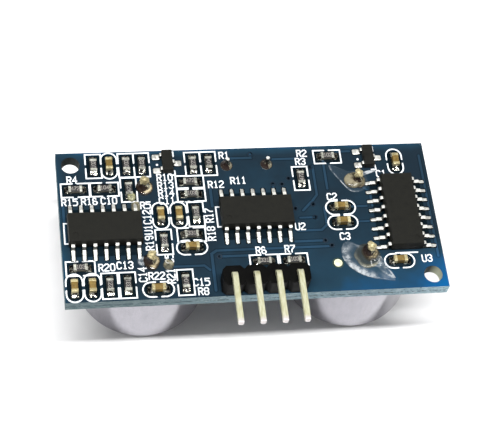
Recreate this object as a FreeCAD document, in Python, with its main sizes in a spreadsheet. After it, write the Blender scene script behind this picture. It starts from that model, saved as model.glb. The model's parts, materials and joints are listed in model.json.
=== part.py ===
# Ultrasonic distance sensor module.
#
# A 45 x 20 mm circuit board carries its small components on the upper face and two
# open-faced 16 mm ultrasonic transducers and a quartz crystal on the lower face.
# A four-pin header stands on the upper face with its pins bent over the front edge.
#
# Frame: origin at the centre of the board outline, on the lower (transducer) face.
# +Z points out of the component side, +Y away from the header edge.

import FreeCAD, Part
import os
import re
import Sketcher
from FreeCAD import Placement, Rotation, Vector

os.makedirs("parts", exist_ok=True)
doc = FreeCAD.newDocument("ultrasonic_distance_sensor")

# ---------------------------------------------------------------- driving dimensions

SIZES = {
    # circuit board
    "board_length": 45.0, "board_width": 20.0, "board_thickness": 1.6,
    "mount_hole_x": 20.8, "mount_hole_y": 8.3, "mount_hole_radius": 1.1,
    "land_thickness": 0.04, "plating": 0.04,
    "via_hole_radius": 0.18, "via_land_radius": 0.32,
    "test_point_x": 9.6, "test_point_y": -6.3, "test_point_radius": 0.5,
    # two-ended ceramic chips, 1.6 x 0.8 mm
    "chip_length": 1.6, "chip_width": 0.8, "chip_cap_wall": 0.04,
    "resistor_height": 0.45, "resistor_cap": 0.3,
    "capacitor_height": 0.8, "capacitor_cap": 0.36, "capacitor_edge": 0.06,
    "chip_land_inner": 0.42, "chip_land_outer": 1.32, "chip_land_width": 0.95,
    "chip_solder_reach": 1.22, "chip_solder_rise": 0.3,
    # gull-wing packages
    "soic_width": 3.9, "soic_standoff": 0.15, "soic_middle": 0.85, "soic_top": 1.6,
    "soic_14_length": 8.65, "soic_16_length": 9.9, "soic_pitch": 1.27,
    "soic_shoulder": 2.1, "soic_tip": 3.05, "mould_draft": 7.0,
    "soic_land_inner": 2.15, "soic_land_outer": 3.75, "soic_land_width": 0.62,
    "dimple_radius": 0.35, "dimple_depth": 0.08, "dimple_inset": 0.85,
    "lead_thickness": 0.2, "lead_width": 0.42,
    "lead_outer_bend": 0.27, "lead_inner_bend": 0.1,
    "sot_length": 2.9, "sot_width": 1.3, "sot_middle": 0.6, "sot_top": 1.05,
    "sot_standoff": 0.1, "sot_lead_spread": 0.95, "sot_lead_thickness": 0.13,
    "sot_shoulder": 0.72, "sot_tip": 1.25, "sot_outer_bend": 0.18,
    "sot_land_inner": 0.75, "sot_land_outer": 1.75, "sot_land_width": 0.85,
    "toe_solder_rise": 0.17,
    # four-pin header
    "header_x": 0.5, "header_y": -8.65, "header_height": 2.5, "header_depth": 2.54,
    "header_chamfer": 0.45, "pin_pitch": 2.54, "pin_side": 0.64, "pin_point": 0.16,
    "pin_tail": 1.5, "pin_bend": 0.2, "pin_tip_y": -15.2,
    # plated holes
    "wide_hole_radius": 0.55, "wide_land_radius": 0.9,
    "narrow_hole_radius": 0.4, "narrow_land_radius": 0.75,
    # transducers, 16 mm across and 12 mm tall
    "receiver_x": -12.35, "transmitter_x": 13.55,
    "can_radius": 8.0, "can_back": 0.5, "can_front": 12.6, "can_wall": 0.4,
    "can_corner": 0.9, "can_mouth_radius": 6.5,
    "mesh_thickness": 0.2, "mesh_pitch": 0.7, "mesh_hole": 0.48,
    "base_thickness": 1.5, "pedestal_inner": 3.4, "pedestal_outer": 4.4,
    "pedestal_front": 5.6, "notch_width": 1.4, "notch_depth": 2.4,
    "seat_thickness": 0.57, "plate_back": 6.2, "plate_thickness": 0.3,
    "plate_radius": 6.0, "piezo_radius": 3.0, "piezo_thickness": 0.45,
    "cone_foot_radius": 1.3, "cone_mouth_radius": 5.0, "cone_height": 3.6,
    "cone_wall": 0.2, "transducer_pin_y": 5.0, "transducer_pin_radius": 0.35,
    "transducer_pin_inner": 3.0, "transducer_pin_rise": 1.9,
    "wire_radius": 0.07, "wire_gap": 0.04,
    "joint_foot_radius": 0.86, "joint_rise": 1.15,
    # quartz crystal
    "crystal_x": 0.3, "crystal_y": 7.6, "crystal_lead_spread": 4.88,
    "crystal_lead_radius": 0.215, "crystal_lead_rise": 1.5,
    "crystal_gap": 0.35, "crystal_length": 11.05, "crystal_width": 4.65,
    "crystal_flange": 0.45, "crystal_height": 3.5, "crystal_can_inset": 0.4,
    "crystal_can_wall": 0.25, "crystal_can_corner": 0.5, "crystal_base_height": 0.75,
    "crystal_seal_radius": 0.6, "crystal_lead_inside": 0.35,
    "blank_length": 7.6, "blank_width": 1.9, "blank_thickness": 0.17,
    "clip_thickness": 0.1, "clip_width": 1.3, "clip_reach": 1.0, "clip_step": 0.5,
    "crystal_joint_radius": 0.7, "crystal_joint_rise": 0.7,
}

# Centres of the small components on the upper face: x, y and the turn about Z in
# degrees. At 0 the component lies along X.
RESISTORS = [
    (-18.1, 8.05, 90), (-14.2, 8.05, 90), (-12.35, 8.05, 90), (-6.2, 7.95, 90),
    (-4.3, 7.95, 90), (10.35, 8.4, 0), (6.7, 5.45, 90),
    (-20.45, 4.8, 0), (-17.0, 4.8, 0), (-14.15, 4.65, 90), (-6.8, 5.4, 0),
    (-6.8, 3.7, 0), (-6.5, 1.0, 90), (-7.3, -1.75, 0), (-10.6, -2.6, 90),
    (-20.5, -5.65, 0), (0.85, -5.75, 0), (4.4, -5.75, 0),
    (-17.3, -8.05, 90), (-15.25, -8.05, 90), (-8.6, -8.0, 90),
]
CAPACITORS = [
    (-16.25, 8.05, 90), (18.67, 7.4, 90), (-10.7, 0.95, 90), (-8.55, 0.95, 90),
    (10.98, 1.2, 0), (10.98, -0.85, 0), (-7.4, -3.45, 0), (17.03, -6.36, 0),
    (-21.35, -8.15, 90), (-19.3, -8.15, 90), (-11.8, -8.75, 0),
]
TRANSISTORS = [(-9.3, 8.1, 0), (15.3, 8.0, 0)]
VIAS = [
    (7.7, 1.8), (7.7, 0.0), (8.5, -3.2), (9.2, -3.9), (8.1, 7.0), (5.5, 1.3),
    (3.2, 4.8), (4.3, 4.75), (5.2, 5.5), (-4.3, -4.8), (-7.55, 2.6), (0.9, 9.1),
]
CHIPS = {
    # name: leads, length, x, y, turn
    "receiver_amplifier": (14, "soic_14_length", -17.4, -1.0, 0),
    "controller": (14, "soic_14_length", 0.6, 0.5, 0),
    "transmitter_driver": (16, "soic_16_length", 18.1, -0.05, 90),
}
HEADER_PINS = 4

sheet = doc.addObject("Spreadsheet::Sheet", "sizes")


def add_cells(cells):
    """Write names and plain numbers below the rows the sheet already has."""
    first = len(sheet.getUsedCells()) // 2 + 1
    for row, (name, number) in enumerate(cells.items(), first):
        sheet.set(f"A{row}", name)
        sheet.set(f"B{row}", str(number))
        sheet.setAlias(f"B{row}", name)


def add_layout(kind, places):
    """Give each centre of a kind of component its own pair of cells."""
    cells = {}
    for number, place in enumerate(places, 1):
        cells[f"{kind}_{number}_x"] = place[0]
        cells[f"{kind}_{number}_y"] = place[1]
    add_cells(cells)


add_cells(SIZES)
add_layout("resistor", RESISTORS)
add_layout("capacitor", CAPACITORS)
add_layout("transistor", TRANSISTORS)
add_layout("via", VIAS)
add_layout("chip", [chip[2:4] for chip in CHIPS.values()])
doc.recompute()

# ---------------------------------------------------------------- modelling helpers

nodes = []


def size(formula):
    """The value of a formula over the sheet's names."""
    return float(sheet.evalExpression(formula))


def bind(thing, path, formula):
    """Drive one property of an object by a formula over the sheet's names."""
    thing.setExpression(path, re.sub(r"[a-z]\w*", r"sizes.\g<0>", formula))


def new_body(name, is_node=True):
    body = doc.addObject("PartDesign::Body", name)
    body.Label = name
    if is_node:
        nodes.append(body)
    return body


def place(thing, x="0", y="0", z="0", turn=0):
    """Put an object at formulas for x, y and z, turned about Z."""
    corner = Vector(size(x), size(y), size(z))
    thing.Placement = Placement(corner, Rotation(Vector(0, 0, 1), turn))
    for axis, formula in zip("xyz", (x, y, z)):
        bind(thing, f"Placement.Base.{axis}", formula)


def origin_part(body, role):
    return next(part for part in body.Origin.OriginFeatures if part.Role == role)


def new_sketch(body, role, lift="0"):
    """A sketch on one of the body's origin planes, moved along its normal by lift."""
    sketch = body.newObject("Sketcher::SketchObject", body.Name + "_sketch")
    sketch.AttachmentSupport = [(origin_part(body, role), "")]
    sketch.MapMode = "FlatFace"
    bind(sketch, "AttachmentOffset.Base.z", lift)
    return sketch


def pin_point(sketch, curve, point, x, y):
    """Hold a point of a curve at formulas for its sketch coordinates."""
    for kind, formula in (("DistanceX", x), ("DistanceY", y)):
        held = Sketcher.Constraint(kind, -1, 1, curve, point, size(formula))
        index = sketch.addConstraint(held)
        bind(sketch, f"Constraints[{index}]", formula)


def arc_between(start, end, radius):
    """The short arc from start to end; it runs anticlockwise when radius > 0."""
    chord = end - start
    side = Vector(-chord.y, chord.x, 0).normalize()
    rise = (radius ** 2 - (chord.Length / 2) ** 2) ** 0.5
    if radius < 0:
        start, end, side = end, start, side * -1
    centre = (start + end) / 2 + side * rise
    circle = Part.Circle(centre, Vector(0, 0, 1), abs(radius))
    return Part.ArcOfCircle(circle, circle.parameter(start), circle.parameter(end))


def add_outline(sketch, corners):
    """A closed outline. A corner is (x, y), or (x, y, radius) where an arc leaves it."""
    first = sketch.GeometryCount
    count = len(corners)
    points = [Vector(size(corner[0]), size(corner[1]), 0) for corner in corners]
    starts = []
    ends = []
    for index, corner in enumerate(corners):
        start = points[index]
        end = points[(index + 1) % count]
        clockwise = False
        if len(corner) == 3:
            radius = size(corner[2])
            clockwise = radius < 0
            sketch.addGeometry(arc_between(start, end, radius))
            held = Sketcher.Constraint("Radius", first + index, abs(radius))
            number = sketch.addConstraint(held)
            bind(sketch, f"Constraints[{number}]", corner[2].lstrip("-"))
        else:
            sketch.addGeometry(Part.LineSegment(start, end))
        starts.append(2 if clockwise else 1)
        ends.append(1 if clockwise else 2)
    for index in range(count):
        after = (index + 1) % count
        joined = Sketcher.Constraint(
            "Coincident", first + index, ends[index], first + after, starts[after])
        sketch.addConstraint(joined)
        pin_point(sketch, first + index, starts[index], *corners[index][:2])


def add_rectangle(sketch, left, right, low, high):
    add_outline(sketch, [(left, low), (right, low), (right, high), (left, high)])


def add_circle(sketch, x, y, radius):
    circle = Part.Circle(Vector(size(x), size(y), 0), Vector(0, 0, 1), size(radius))
    index = sketch.addGeometry(circle)
    number = sketch.addConstraint(Sketcher.Constraint("Radius", index, size(radius)))
    bind(sketch, f"Constraints[{number}]", radius)
    pin_point(sketch, index, 3, x, y)


def add_feature(body, kind, sketch):
    feature = body.newObject("PartDesign::" + kind, f"{body.Name}_{kind.lower()}")
    feature.Profile = sketch
    sketch.Visibility = False
    body.Tip = feature
    return feature


def pad(body, sketch, length, middle=False, downward=False, draft="0"):
    feature = add_feature(body, "Pad", sketch)
    feature.Midplane = middle
    feature.Reversed = downward
    bind(feature, "Length", length)
    bind(feature, "TaperAngle", draft)
    doc.recompute()
    return feature


def pocket(body, sketch, length, middle=False, downward=True):
    """Cut a sketch out of the body and make sure that something was removed."""
    before = body.Shape.Volume
    feature = add_feature(body, "Pocket", sketch)
    feature.Midplane = middle
    feature.Reversed = not downward
    bind(feature, "Length", length)
    doc.recompute()
    if body.Shape.Volume >= before:
        raise RuntimeError(body.Label + ": the pocket cuts nothing")
    return feature


def revolve(body, sketch):
    feature = add_feature(body, "Revolution", sketch)
    feature.ReferenceAxis = (sketch, ["V_Axis"])
    feature.Angle = 360
    doc.recompute()
    return feature


def spin(name, corners, is_node=True):
    """A body revolved about Z from an outline of (radius, height) corners."""
    body = new_body(name, is_node)
    sketch = new_sketch(body, "XZ_Plane")
    add_outline(sketch, corners)
    revolve(body, sketch)
    return body


def dress(body, kind, radius_property, radius, keep_edge):
    """Fillet or chamfer the edges of the body's tip that keep_edge picks."""
    base = body.Tip
    names = [f"Edge{number}" for number, edge in enumerate(base.Shape.Edges, 1)
             if keep_edge(edge)]
    feature = body.newObject("PartDesign::" + kind, f"{body.Name}_{kind.lower()}")
    feature.Base = (base, names)
    bind(feature, radius_property, radius)
    body.Tip = feature
    doc.recompute()
    return feature


def flat_at(edge, axis, value):
    """Whether an edge lies in the plane where one coordinate has a value."""
    box = edge.BoundBox
    low = getattr(box, axis + "Min")
    high = getattr(box, axis + "Max")
    return abs(low - value) < 1e-6 and abs(high - value) < 1e-6


def repeat(body, original, role, length, count):
    """Repeat a feature in a row along one of the body's axes."""
    pattern = body.newObject("PartDesign::LinearPattern", body.Name + "_row")
    pattern.Originals = [original]
    pattern.Direction = (origin_part(body, role), [""])
    bind(pattern, "Length", length)
    pattern.Occurrences = count
    body.Tip = pattern
    doc.recompute()
    return pattern


def mirror(body, original, role):
    pattern = body.newObject("PartDesign::Mirrored", body.Name + "_mirror")
    pattern.Originals = [original]
    pattern.MirrorPlane = (origin_part(body, role), [""])
    body.Tip = pattern
    doc.recompute()
    return pattern


def two_rows(body, original, length, count):
    """Repeat a feature along X and mirror that row across the XZ plane."""
    multi = body.newObject("PartDesign::MultiTransform", body.Name + "_rows")
    multi.Originals = [original]
    row = body.newObject("PartDesign::LinearPattern", body.Name + "_row")
    row.Direction = (origin_part(body, "X_Axis"), [""])
    bind(row, "Length", length)
    row.Occurrences = count
    other_side = body.newObject("PartDesign::Mirrored", body.Name + "_other_side")
    other_side.MirrorPlane = (origin_part(body, "XZ_Plane"), [""])
    multi.Transformations = [row, other_side]
    body.Tip = multi
    doc.recompute()


def copy_of(master, x, y, z="board_thickness", turn=0):
    """A linked copy of a master body at formulas for its place."""
    link = doc.addObject("App::Link", master.Name + "_copy")
    link.LinkedObject = master
    place(link, x, y, z, turn)
    return link


def group(name, members):
    """One node holding several separate solids."""
    compound = doc.addObject("Part::Compound", name)
    compound.Label = name
    compound.Links = members
    nodes.append(compound)


def copies_at(master, kind, places):
    """Copies of a master at every centre of a kind of component."""
    return [copy_of(master, f"{kind}_{number}_x", f"{kind}_{number}_y", turn=spot[2])
            for number, spot in enumerate(places, 1)]


# ---------------------------------------------------------------- circuit board

header_pin_xs = [f"header_x + pin_pitch * {index - (HEADER_PINS - 1) / 2}"
                 for index in range(HEADER_PINS)]
transducer_pins = [(x, y) for x in ("receiver_x", "transmitter_x")
                   for y in ("-transducer_pin_y", "transducer_pin_y")]
crystal_leads = [(f"crystal_x + {side} * crystal_lead_spread / 2", "crystal_y")
                 for side in (-1, 1)]
wide_holes = [(x, "header_y") for x in header_pin_xs] + transducer_pins
via_centres = [(f"via_{number}_x", f"via_{number}_y")
               for number in range(1, len(VIAS) + 1)]


def make_board():
    board = new_body("circuit_board")
    outline = new_sketch(board, "XY_Plane")
    add_rectangle(outline, "-board_length / 2", "board_length / 2",
                  "-board_width / 2", "board_width / 2")
    pad(board, outline, "board_thickness")
    holes = new_sketch(board, "XY_Plane")
    add_circle(holes, "-mount_hole_x", "mount_hole_y", "mount_hole_radius")
    add_circle(holes, "mount_hole_x", "-mount_hole_y", "mount_hole_radius")
    for x, y in wide_holes:
        add_circle(holes, x, y, "wide_hole_radius")
    for x, y in crystal_leads:
        add_circle(holes, x, y, "narrow_hole_radius")
    for x, y in via_centres:
        add_circle(holes, x, y, "via_hole_radius + plating")
    add_circle(holes, "test_point_x", "test_point_y", "via_hole_radius + plating")
    pocket(board, holes, "board_thickness", downward=False)


def plated_hole(name, hole_radius, land_radius, is_node=False):
    """A copper barrel with a flat land on each face of the board."""
    inner = f"{hole_radius} - plating"
    top = "board_thickness"
    return spin(name, [
        (inner, "-land_thickness"), (land_radius, "-land_thickness"),
        (land_radius, "0"), (hole_radius, "0"), (hole_radius, top),
        (land_radius, top), (land_radius, top + " + land_thickness"),
        (inner, top + " + land_thickness"),
    ], is_node)


def make_plated_holes():
    wide = plated_hole("wide_barrel", "wide_hole_radius", "wide_land_radius")
    narrow = plated_hole("narrow_barrel", "narrow_hole_radius", "narrow_land_radius")
    via = plated_hole("via_barrel", "via_hole_radius + plating", "via_land_radius")
    group("through_hole_lands",
          [copy_of(wide, x, y, "0") for x, y in wide_holes]
          + [copy_of(narrow, x, y, "0") for x, y in crystal_leads])
    group("via_barrels", [copy_of(via, x, y, "0") for x, y in via_centres])
    test_point = plated_hole("test_point", "via_hole_radius + plating",
                             "test_point_radius", is_node=True)
    place(test_point, "test_point_x", "test_point_y")


# ---------------------------------------------------------------- two-ended chips

def make_chip_core(name, height, cap_wall_sides, cap_wall_top):
    core = new_body(name, is_node=False)
    bottom = "land_thickness + chip_cap_wall"
    outline = new_sketch(core, "XY_Plane", bottom)
    add_rectangle(outline, "chip_cap_wall - chip_length / 2",
                  "chip_length / 2 - chip_cap_wall",
                  f"{cap_wall_sides} - chip_width / 2",
                  f"chip_width / 2 - {cap_wall_sides}")
    pad(core, outline, f"{height} - chip_cap_wall - {cap_wall_top}")
    return core


def make_resistor_masters():
    core = make_chip_core("resistor_core", "resistor_height", "0", "chip_cap_wall")

    coat = new_body("resistor_coat", is_node=False)
    outline = new_sketch(
        coat, "XY_Plane", "land_thickness + resistor_height - chip_cap_wall")
    add_rectangle(outline, "resistor_cap - chip_length / 2",
                  "chip_length / 2 - resistor_cap",
                  "-chip_width / 2", "chip_width / 2")
    pad(coat, outline, "chip_cap_wall")

    # each end cap is a strip folded round the end, seen from the side as a C
    caps = new_body("resistor_cap_pair", is_node=False)
    outline = new_sketch(caps, "XZ_Plane")
    end = "-chip_length / 2"
    wall = end + " + chip_cap_wall"
    lip = end + " + resistor_cap"
    low = "land_thickness"
    high = "land_thickness + resistor_height"
    add_outline(outline, [
        (end, low), (lip, low), (lip, low + " + chip_cap_wall"),
        (wall, low + " + chip_cap_wall"), (wall, high + " - chip_cap_wall"),
        (lip, high + " - chip_cap_wall"), (lip, high), (end, high),
    ])
    strip = pad(caps, outline, "chip_width", middle=True)
    mirror(caps, strip, "YZ_Plane")
    return core, coat, caps


def make_capacitor_masters():
    core = make_chip_core("capacitor_core", "capacitor_height", "chip_cap_wall",
                          "chip_cap_wall")
    # each end cap is a cup over all four sides
    caps = new_body("capacitor_cap_pair", is_node=False)
    outline = new_sketch(caps, "XY_Plane", "land_thickness")
    for side in ("-", ""):
        corners = sorted([f"{side}chip_length / 2",
                          f"{side}(chip_length / 2 - capacitor_cap)"], key=size)
        add_rectangle(outline, *corners, "-chip_width / 2", "chip_width / 2")
    pad(caps, outline, "capacitor_height")
    ends = size("chip_length / 2")
    top = size("land_thickness + capacitor_height")
    dress(caps, "Fillet", "Radius", "capacitor_edge",
          lambda edge: (flat_at(edge, "X", ends) or flat_at(edge, "X", -ends)
                        or flat_at(edge, "Z", top)))
    hollow = new_sketch(caps, "XY_Plane", "land_thickness + chip_cap_wall")
    add_rectangle(hollow, "chip_cap_wall - chip_length / 2",
                  "chip_length / 2 - chip_cap_wall",
                  "chip_cap_wall - chip_width / 2", "chip_width / 2 - chip_cap_wall")
    pocket(caps, hollow, "capacitor_height - 2 * chip_cap_wall", downward=False)
    return core, caps


def make_chip_land():
    lands = new_body("chip_lands", is_node=False)
    outline = new_sketch(lands, "XY_Plane")
    add_rectangle(outline, "chip_land_inner", "chip_land_outer",
                  "-chip_land_width / 2", "chip_land_width / 2")
    first = pad(lands, outline, "land_thickness")
    mirror(lands, first, "YZ_Plane")
    return lands


def make_chip_solder():
    """Concave fillets of solder against both ends of a chip."""
    solder = new_body("chip_solder", is_node=False)
    outline = new_sketch(solder, "XZ_Plane")
    add_outline(outline, [
        ("chip_length / 2", "land_thickness"),
        ("chip_solder_reach", "land_thickness", "-0.5"),
        ("chip_length / 2", "land_thickness + chip_solder_rise"),
    ])
    first = pad(solder, outline, "chip_width", middle=True)
    mirror(solder, first, "YZ_Plane")
    return solder


# ---------------------------------------------------------------- gull-wing packages

def add_moulding(body, length, width, middle, low, high):
    """A moulded package: drafted up and down from the line where its halves meet."""
    outline = new_sketch(body, "XY_Plane", middle)
    add_rectangle(outline, f"-{length} / 2", f"{length} / 2",
                  f"-{width} / 2", f"{width} / 2")
    pad(body, outline, f"{high} - {middle}", draft="-mould_draft")
    pad(body, outline, f"{middle} - {low}", downward=True, draft="-mould_draft")


def lead_outline(start, shoulder, tip, middle, thickness, bend):
    """Side view of a gull-wing lead: out of the package, down, and out to its tip."""
    upper = f"{middle} + {thickness} / 2"
    lower = f"{middle} - {thickness} / 2"
    foot = "land_thickness"
    outer_face = f"{shoulder} + {bend}"
    inner_face = f"{outer_face} - {thickness}"
    heel = f"{outer_face} + lead_inner_bend"
    return [
        (start, lower), (start, upper),
        (shoulder, upper, f"-{bend}"), (outer_face, f"{upper} - {bend}"),
        (outer_face, f"{foot} + {thickness} + lead_inner_bend", "lead_inner_bend"),
        (heel, f"{foot} + {thickness}"), (tip, f"{foot} + {thickness}"),
        (tip, foot), (heel, foot, f"-(lead_inner_bend + {thickness})"),
        (inner_face, f"{foot} + {thickness} + lead_inner_bend"),
        (inner_face, f"{upper} - {bend}", f"{bend} - {thickness}"), (shoulder, lower),
    ]


def toe_outline(tip, reach):
    """Side view of the solder that runs from a lead's tip to the end of its land."""
    return [
        (tip, "land_thickness"), (reach, "land_thickness", "-1.4"),
        (tip, "land_thickness + toe_solder_rise"),
    ]


def make_soic(name, number):
    """A 14 or 16 lead package with its leads, lands and solder."""
    leads, length, _, _, turn = CHIPS[name]
    centre = (f"chip_{number}_x", f"chip_{number}_y", "board_thickness", turn)
    per_side = leads // 2
    row_length = f"soic_pitch * {per_side - 1}"

    package = new_body(name + "_body")
    add_moulding(package, length, "soic_width", "soic_middle", "soic_standoff",
                 "soic_top")
    dimple = new_sketch(package, "XY_Plane", "soic_top")
    add_circle(dimple, f"dimple_inset - {length} / 2", "dimple_inset - soic_width / 2",
               "dimple_radius")
    pocket(package, dimple, "dimple_depth")
    place(package, *centre)

    outline = lead_outline("soic_width / 2", "soic_shoulder", "soic_tip",
                           "soic_middle", "lead_thickness", "lead_outer_bend")
    rows = [
        (name + "_leads", outline, "lead_width", True),
        (name + "_solder", toe_outline("soic_tip", "soic_land_outer"), "lead_width",
         False),
        (name + "_lands", [
            ("soic_land_inner", "0"), ("soic_land_outer", "0"),
            ("soic_land_outer", "land_thickness"),
            ("soic_land_inner", "land_thickness")], "soic_land_width", False),
    ]
    made = []
    for label, corners, width, is_node in rows:
        body = new_body(label, is_node)
        sketch = new_sketch(body, "YZ_Plane", f"-{row_length} / 2")
        add_outline(sketch, corners)
        first = pad(body, sketch, width, middle=True)
        two_rows(body, first, row_length, per_side)
        place(body, *centre)
        made.append(body)
    return made[1], made[2]


def make_transistors():
    """Two three-lead packages: two leads on the left and one on the right."""
    package = new_body("transistor_package", is_node=False)
    add_moulding(package, "sot_width", "sot_length", "sot_middle", "sot_standoff",
                 "sot_top")
    group("transistor_bodies", copies_at(package, "transistor", TRANSISTORS))

    masters = []
    for label, corners, width in [
        ("transistor_lead",
         lead_outline("sot_width / 2", "sot_shoulder", "sot_tip", "sot_middle",
                      "sot_lead_thickness", "sot_outer_bend"), "lead_width"),
        ("transistor_toe_solder", toe_outline("sot_tip", "sot_land_outer"),
         "lead_width"),
        ("transistor_land", [
            ("sot_land_inner", "0"), ("sot_land_outer", "0"),
            ("sot_land_outer", "land_thickness"),
            ("sot_land_inner", "land_thickness")], "sot_land_width"),
    ]:
        master = new_body(label, is_node=False)
        sketch = new_sketch(master, "XZ_Plane")
        add_outline(sketch, corners)
        pad(master, sketch, width, middle=True)
        masters.append(master)

    sets = []
    for master in masters:
        placed = []
        for number in range(1, len(TRANSISTORS) + 1):
            x = f"transistor_{number}_x"
            y = f"transistor_{number}_y"
            placed.append(copy_of(master, x, y))
            for side in "-+":
                placed.append(copy_of(master, x, f"{y} {side} sot_lead_spread",
                                      turn=180))
        sets.append(placed)
    leads, solder, lands = sets
    group("transistor_leads", leads)
    return solder, lands


def make_surface_parts():
    resistor_core, resistor_coat, resistor_caps = make_resistor_masters()
    capacitor_core, capacitor_caps = make_capacitor_masters()
    group("resistor_cores", copies_at(resistor_core, "resistor", RESISTORS))
    group("resistor_coats", copies_at(resistor_coat, "resistor", RESISTORS))
    group("resistor_end_caps", copies_at(resistor_caps, "resistor", RESISTORS))
    group("capacitor_bodies", copies_at(capacitor_core, "capacitor", CAPACITORS))
    group("capacitor_end_caps", copies_at(capacitor_caps, "capacitor", CAPACITORS))

    solder, lands = make_transistors()
    for number, name in enumerate(CHIPS, 1):
        chip_solder, chip_lands = make_soic(name, number)
        solder.append(chip_solder)
        lands.append(chip_lands)
    for master, members in ((make_chip_solder(), solder), (make_chip_land(), lands)):
        members += copies_at(master, "resistor", RESISTORS)
        members += copies_at(master, "capacitor", CAPACITORS)
    group("surface_solder", solder)
    group("surface_lands", lands)


# ---------------------------------------------------------------- header

def make_header_block():
    """Four plastic cells in a row, each with its corners cut, bored for the pins."""
    block = new_body("header_block")
    cell = new_sketch(block, "XY_Plane")
    side = "pin_pitch / 2"
    depth = "header_depth / 2"
    cut_x = f"({side} - header_chamfer)"
    cut_y = f"({depth} - header_chamfer)"
    add_outline(cell, [
        (f"-{cut_x}", f"-{depth}"), (cut_x, f"-{depth}"), (side, f"-{cut_y}"),
        (side, cut_y), (cut_x, depth), (f"-{cut_x}", depth),
        (f"-{side}", cut_y), (f"-{side}", f"-{cut_y}"),
    ])
    first = pad(block, cell, "header_height")
    row_length = f"pin_pitch * {HEADER_PINS - 1}"
    repeat(block, first, "X_Axis", row_length, HEADER_PINS)
    holes = new_sketch(block, "XY_Plane")
    for index in range(HEADER_PINS):
        middle = f"pin_pitch * {index}"
        add_rectangle(holes, f"{middle} - pin_side / 2", f"{middle} + pin_side / 2",
                      "-pin_side / 2", "pin_side / 2")
    pocket(block, holes, "header_height", downward=False)
    place(block, header_pin_xs[0], "header_y", "board_thickness + land_thickness")


def make_header_pins():
    """Square pins: up through board and block, bent over and out past the edge."""
    half = "pin_side / 2"
    under = "board_thickness + land_thickness + header_height + pin_bend"
    over = f"{under} + pin_side"
    reach = "pin_tip_y - header_y"
    for index, x in enumerate(header_pin_xs, 1):
        pin = new_body(f"header_pin_{index}")
        outline = new_sketch(pin, "YZ_Plane")
        add_outline(outline, [
            (f"-{half}", "-pin_tail"), (half, "-pin_tail"),
            (half, f"{under} - pin_bend", "pin_bend + pin_side"),
            (f"-{half} - pin_bend", over), (reach, over), (reach, under),
            (f"-{half} - pin_bend", under, "-pin_bend"),
            (f"-{half}", f"{under} - pin_bend"),
        ])
        pad(pin, outline, "pin_side", middle=True)
        tail = size("-pin_tail")
        tip = size(reach)
        dress(pin, "Chamfer", "Size", "pin_point",
              lambda edge: flat_at(edge, "Z", tail) or flat_at(edge, "Y", tip))
        place(pin, x, "header_y")


def joint_profile(pin_radius, foot_radius, rise, hole_radius, face_up):
    """Half section of a solder joint: a concave cone on the land and a filled hole."""
    if face_up:
        face = "board_thickness + land_thickness"
        far_end = "0"
        peak = f"{face} + {rise}"
        bend = "-1.6"
    else:
        face = "-land_thickness"
        far_end = "board_thickness"
        peak = f"{face} - {rise}"
        bend = "1.6"
    fill = f"{hole_radius} - plating"
    return [
        (pin_radius, far_end), (fill, far_end), (fill, face),
        (foot_radius, face, bend), (f"{pin_radius} + 0.05", peak), (pin_radius, peak),
    ]


def make_header_solder():
    joint = spin("header_joint",
                 joint_profile("0", "joint_foot_radius", "joint_rise",
                               "wide_hole_radius", face_up=False)[1:4]
                 + [("pin_side / 2", "-land_thickness - joint_rise"),
                    ("0", "-land_thickness - joint_rise"), ("0", "board_thickness")],
                 is_node=False)
    hole = new_sketch(joint, "XY_Plane", "board_thickness")
    add_rectangle(hole, "-pin_side / 2", "pin_side / 2", "-pin_side / 2",
                  "pin_side / 2")
    pocket(joint, hole, "board_thickness + land_thickness + joint_rise")
    group("header_solder", [copy_of(joint, x, "header_y", "0") for x in header_pin_xs])


# ---------------------------------------------------------------- transducers

def make_mesh_screen(name, x):
    """Front screen of a transducer: a round plate with a square grid of openings."""
    reach = size("can_radius - can_corner")
    pitch = size("mesh_pitch")
    hole = size("mesh_hole")
    open_radius = size("can_mouth_radius")
    steps = int(open_radius // pitch)
    rim = Part.Wire(Part.makeCircle(reach))
    openings = []
    for column in range(-steps, steps + 1):
        for row in range(-steps, steps + 1):
            centre = Vector(column * pitch, row * pitch, 0)
            if centre.Length + hole > open_radius:
                continue
            corners = [centre + Vector(dx * hole / 2, dy * hole / 2, 0)
                       for dx, dy in ((-1, -1), (-1, 1), (1, 1), (1, -1), (-1, -1))]
            openings.append(Part.makePolygon(corners))
    face = Part.Face([rim] + openings)
    screen = doc.addObject("Part::Feature", name)
    screen.Label = name
    screen.Shape = face.extrude(Vector(0, 0, size("mesh_thickness")))
    back = "can_wall - can_front"
    place(screen, x, "0", back)
    nodes.append(screen)


def make_can(name, x):
    """Aluminium housing: a drawn cup whose rounded front rim turns in over the mesh."""
    front = "-can_front"
    inside = "can_radius - can_wall"
    turned = "can_radius - can_corner"
    can = spin(name, [
        (inside, "-can_back"),
        (inside, f"{front} + can_corner", "-(can_corner - can_wall)"),
        (turned, f"{front} + can_wall"), ("can_mouth_radius", f"{front} + can_wall"),
        ("can_mouth_radius", front), (turned, front, "can_corner"),
        ("can_radius", f"{front} + can_corner"), ("can_radius", "-can_back"),
    ])
    place(can, x)


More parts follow.
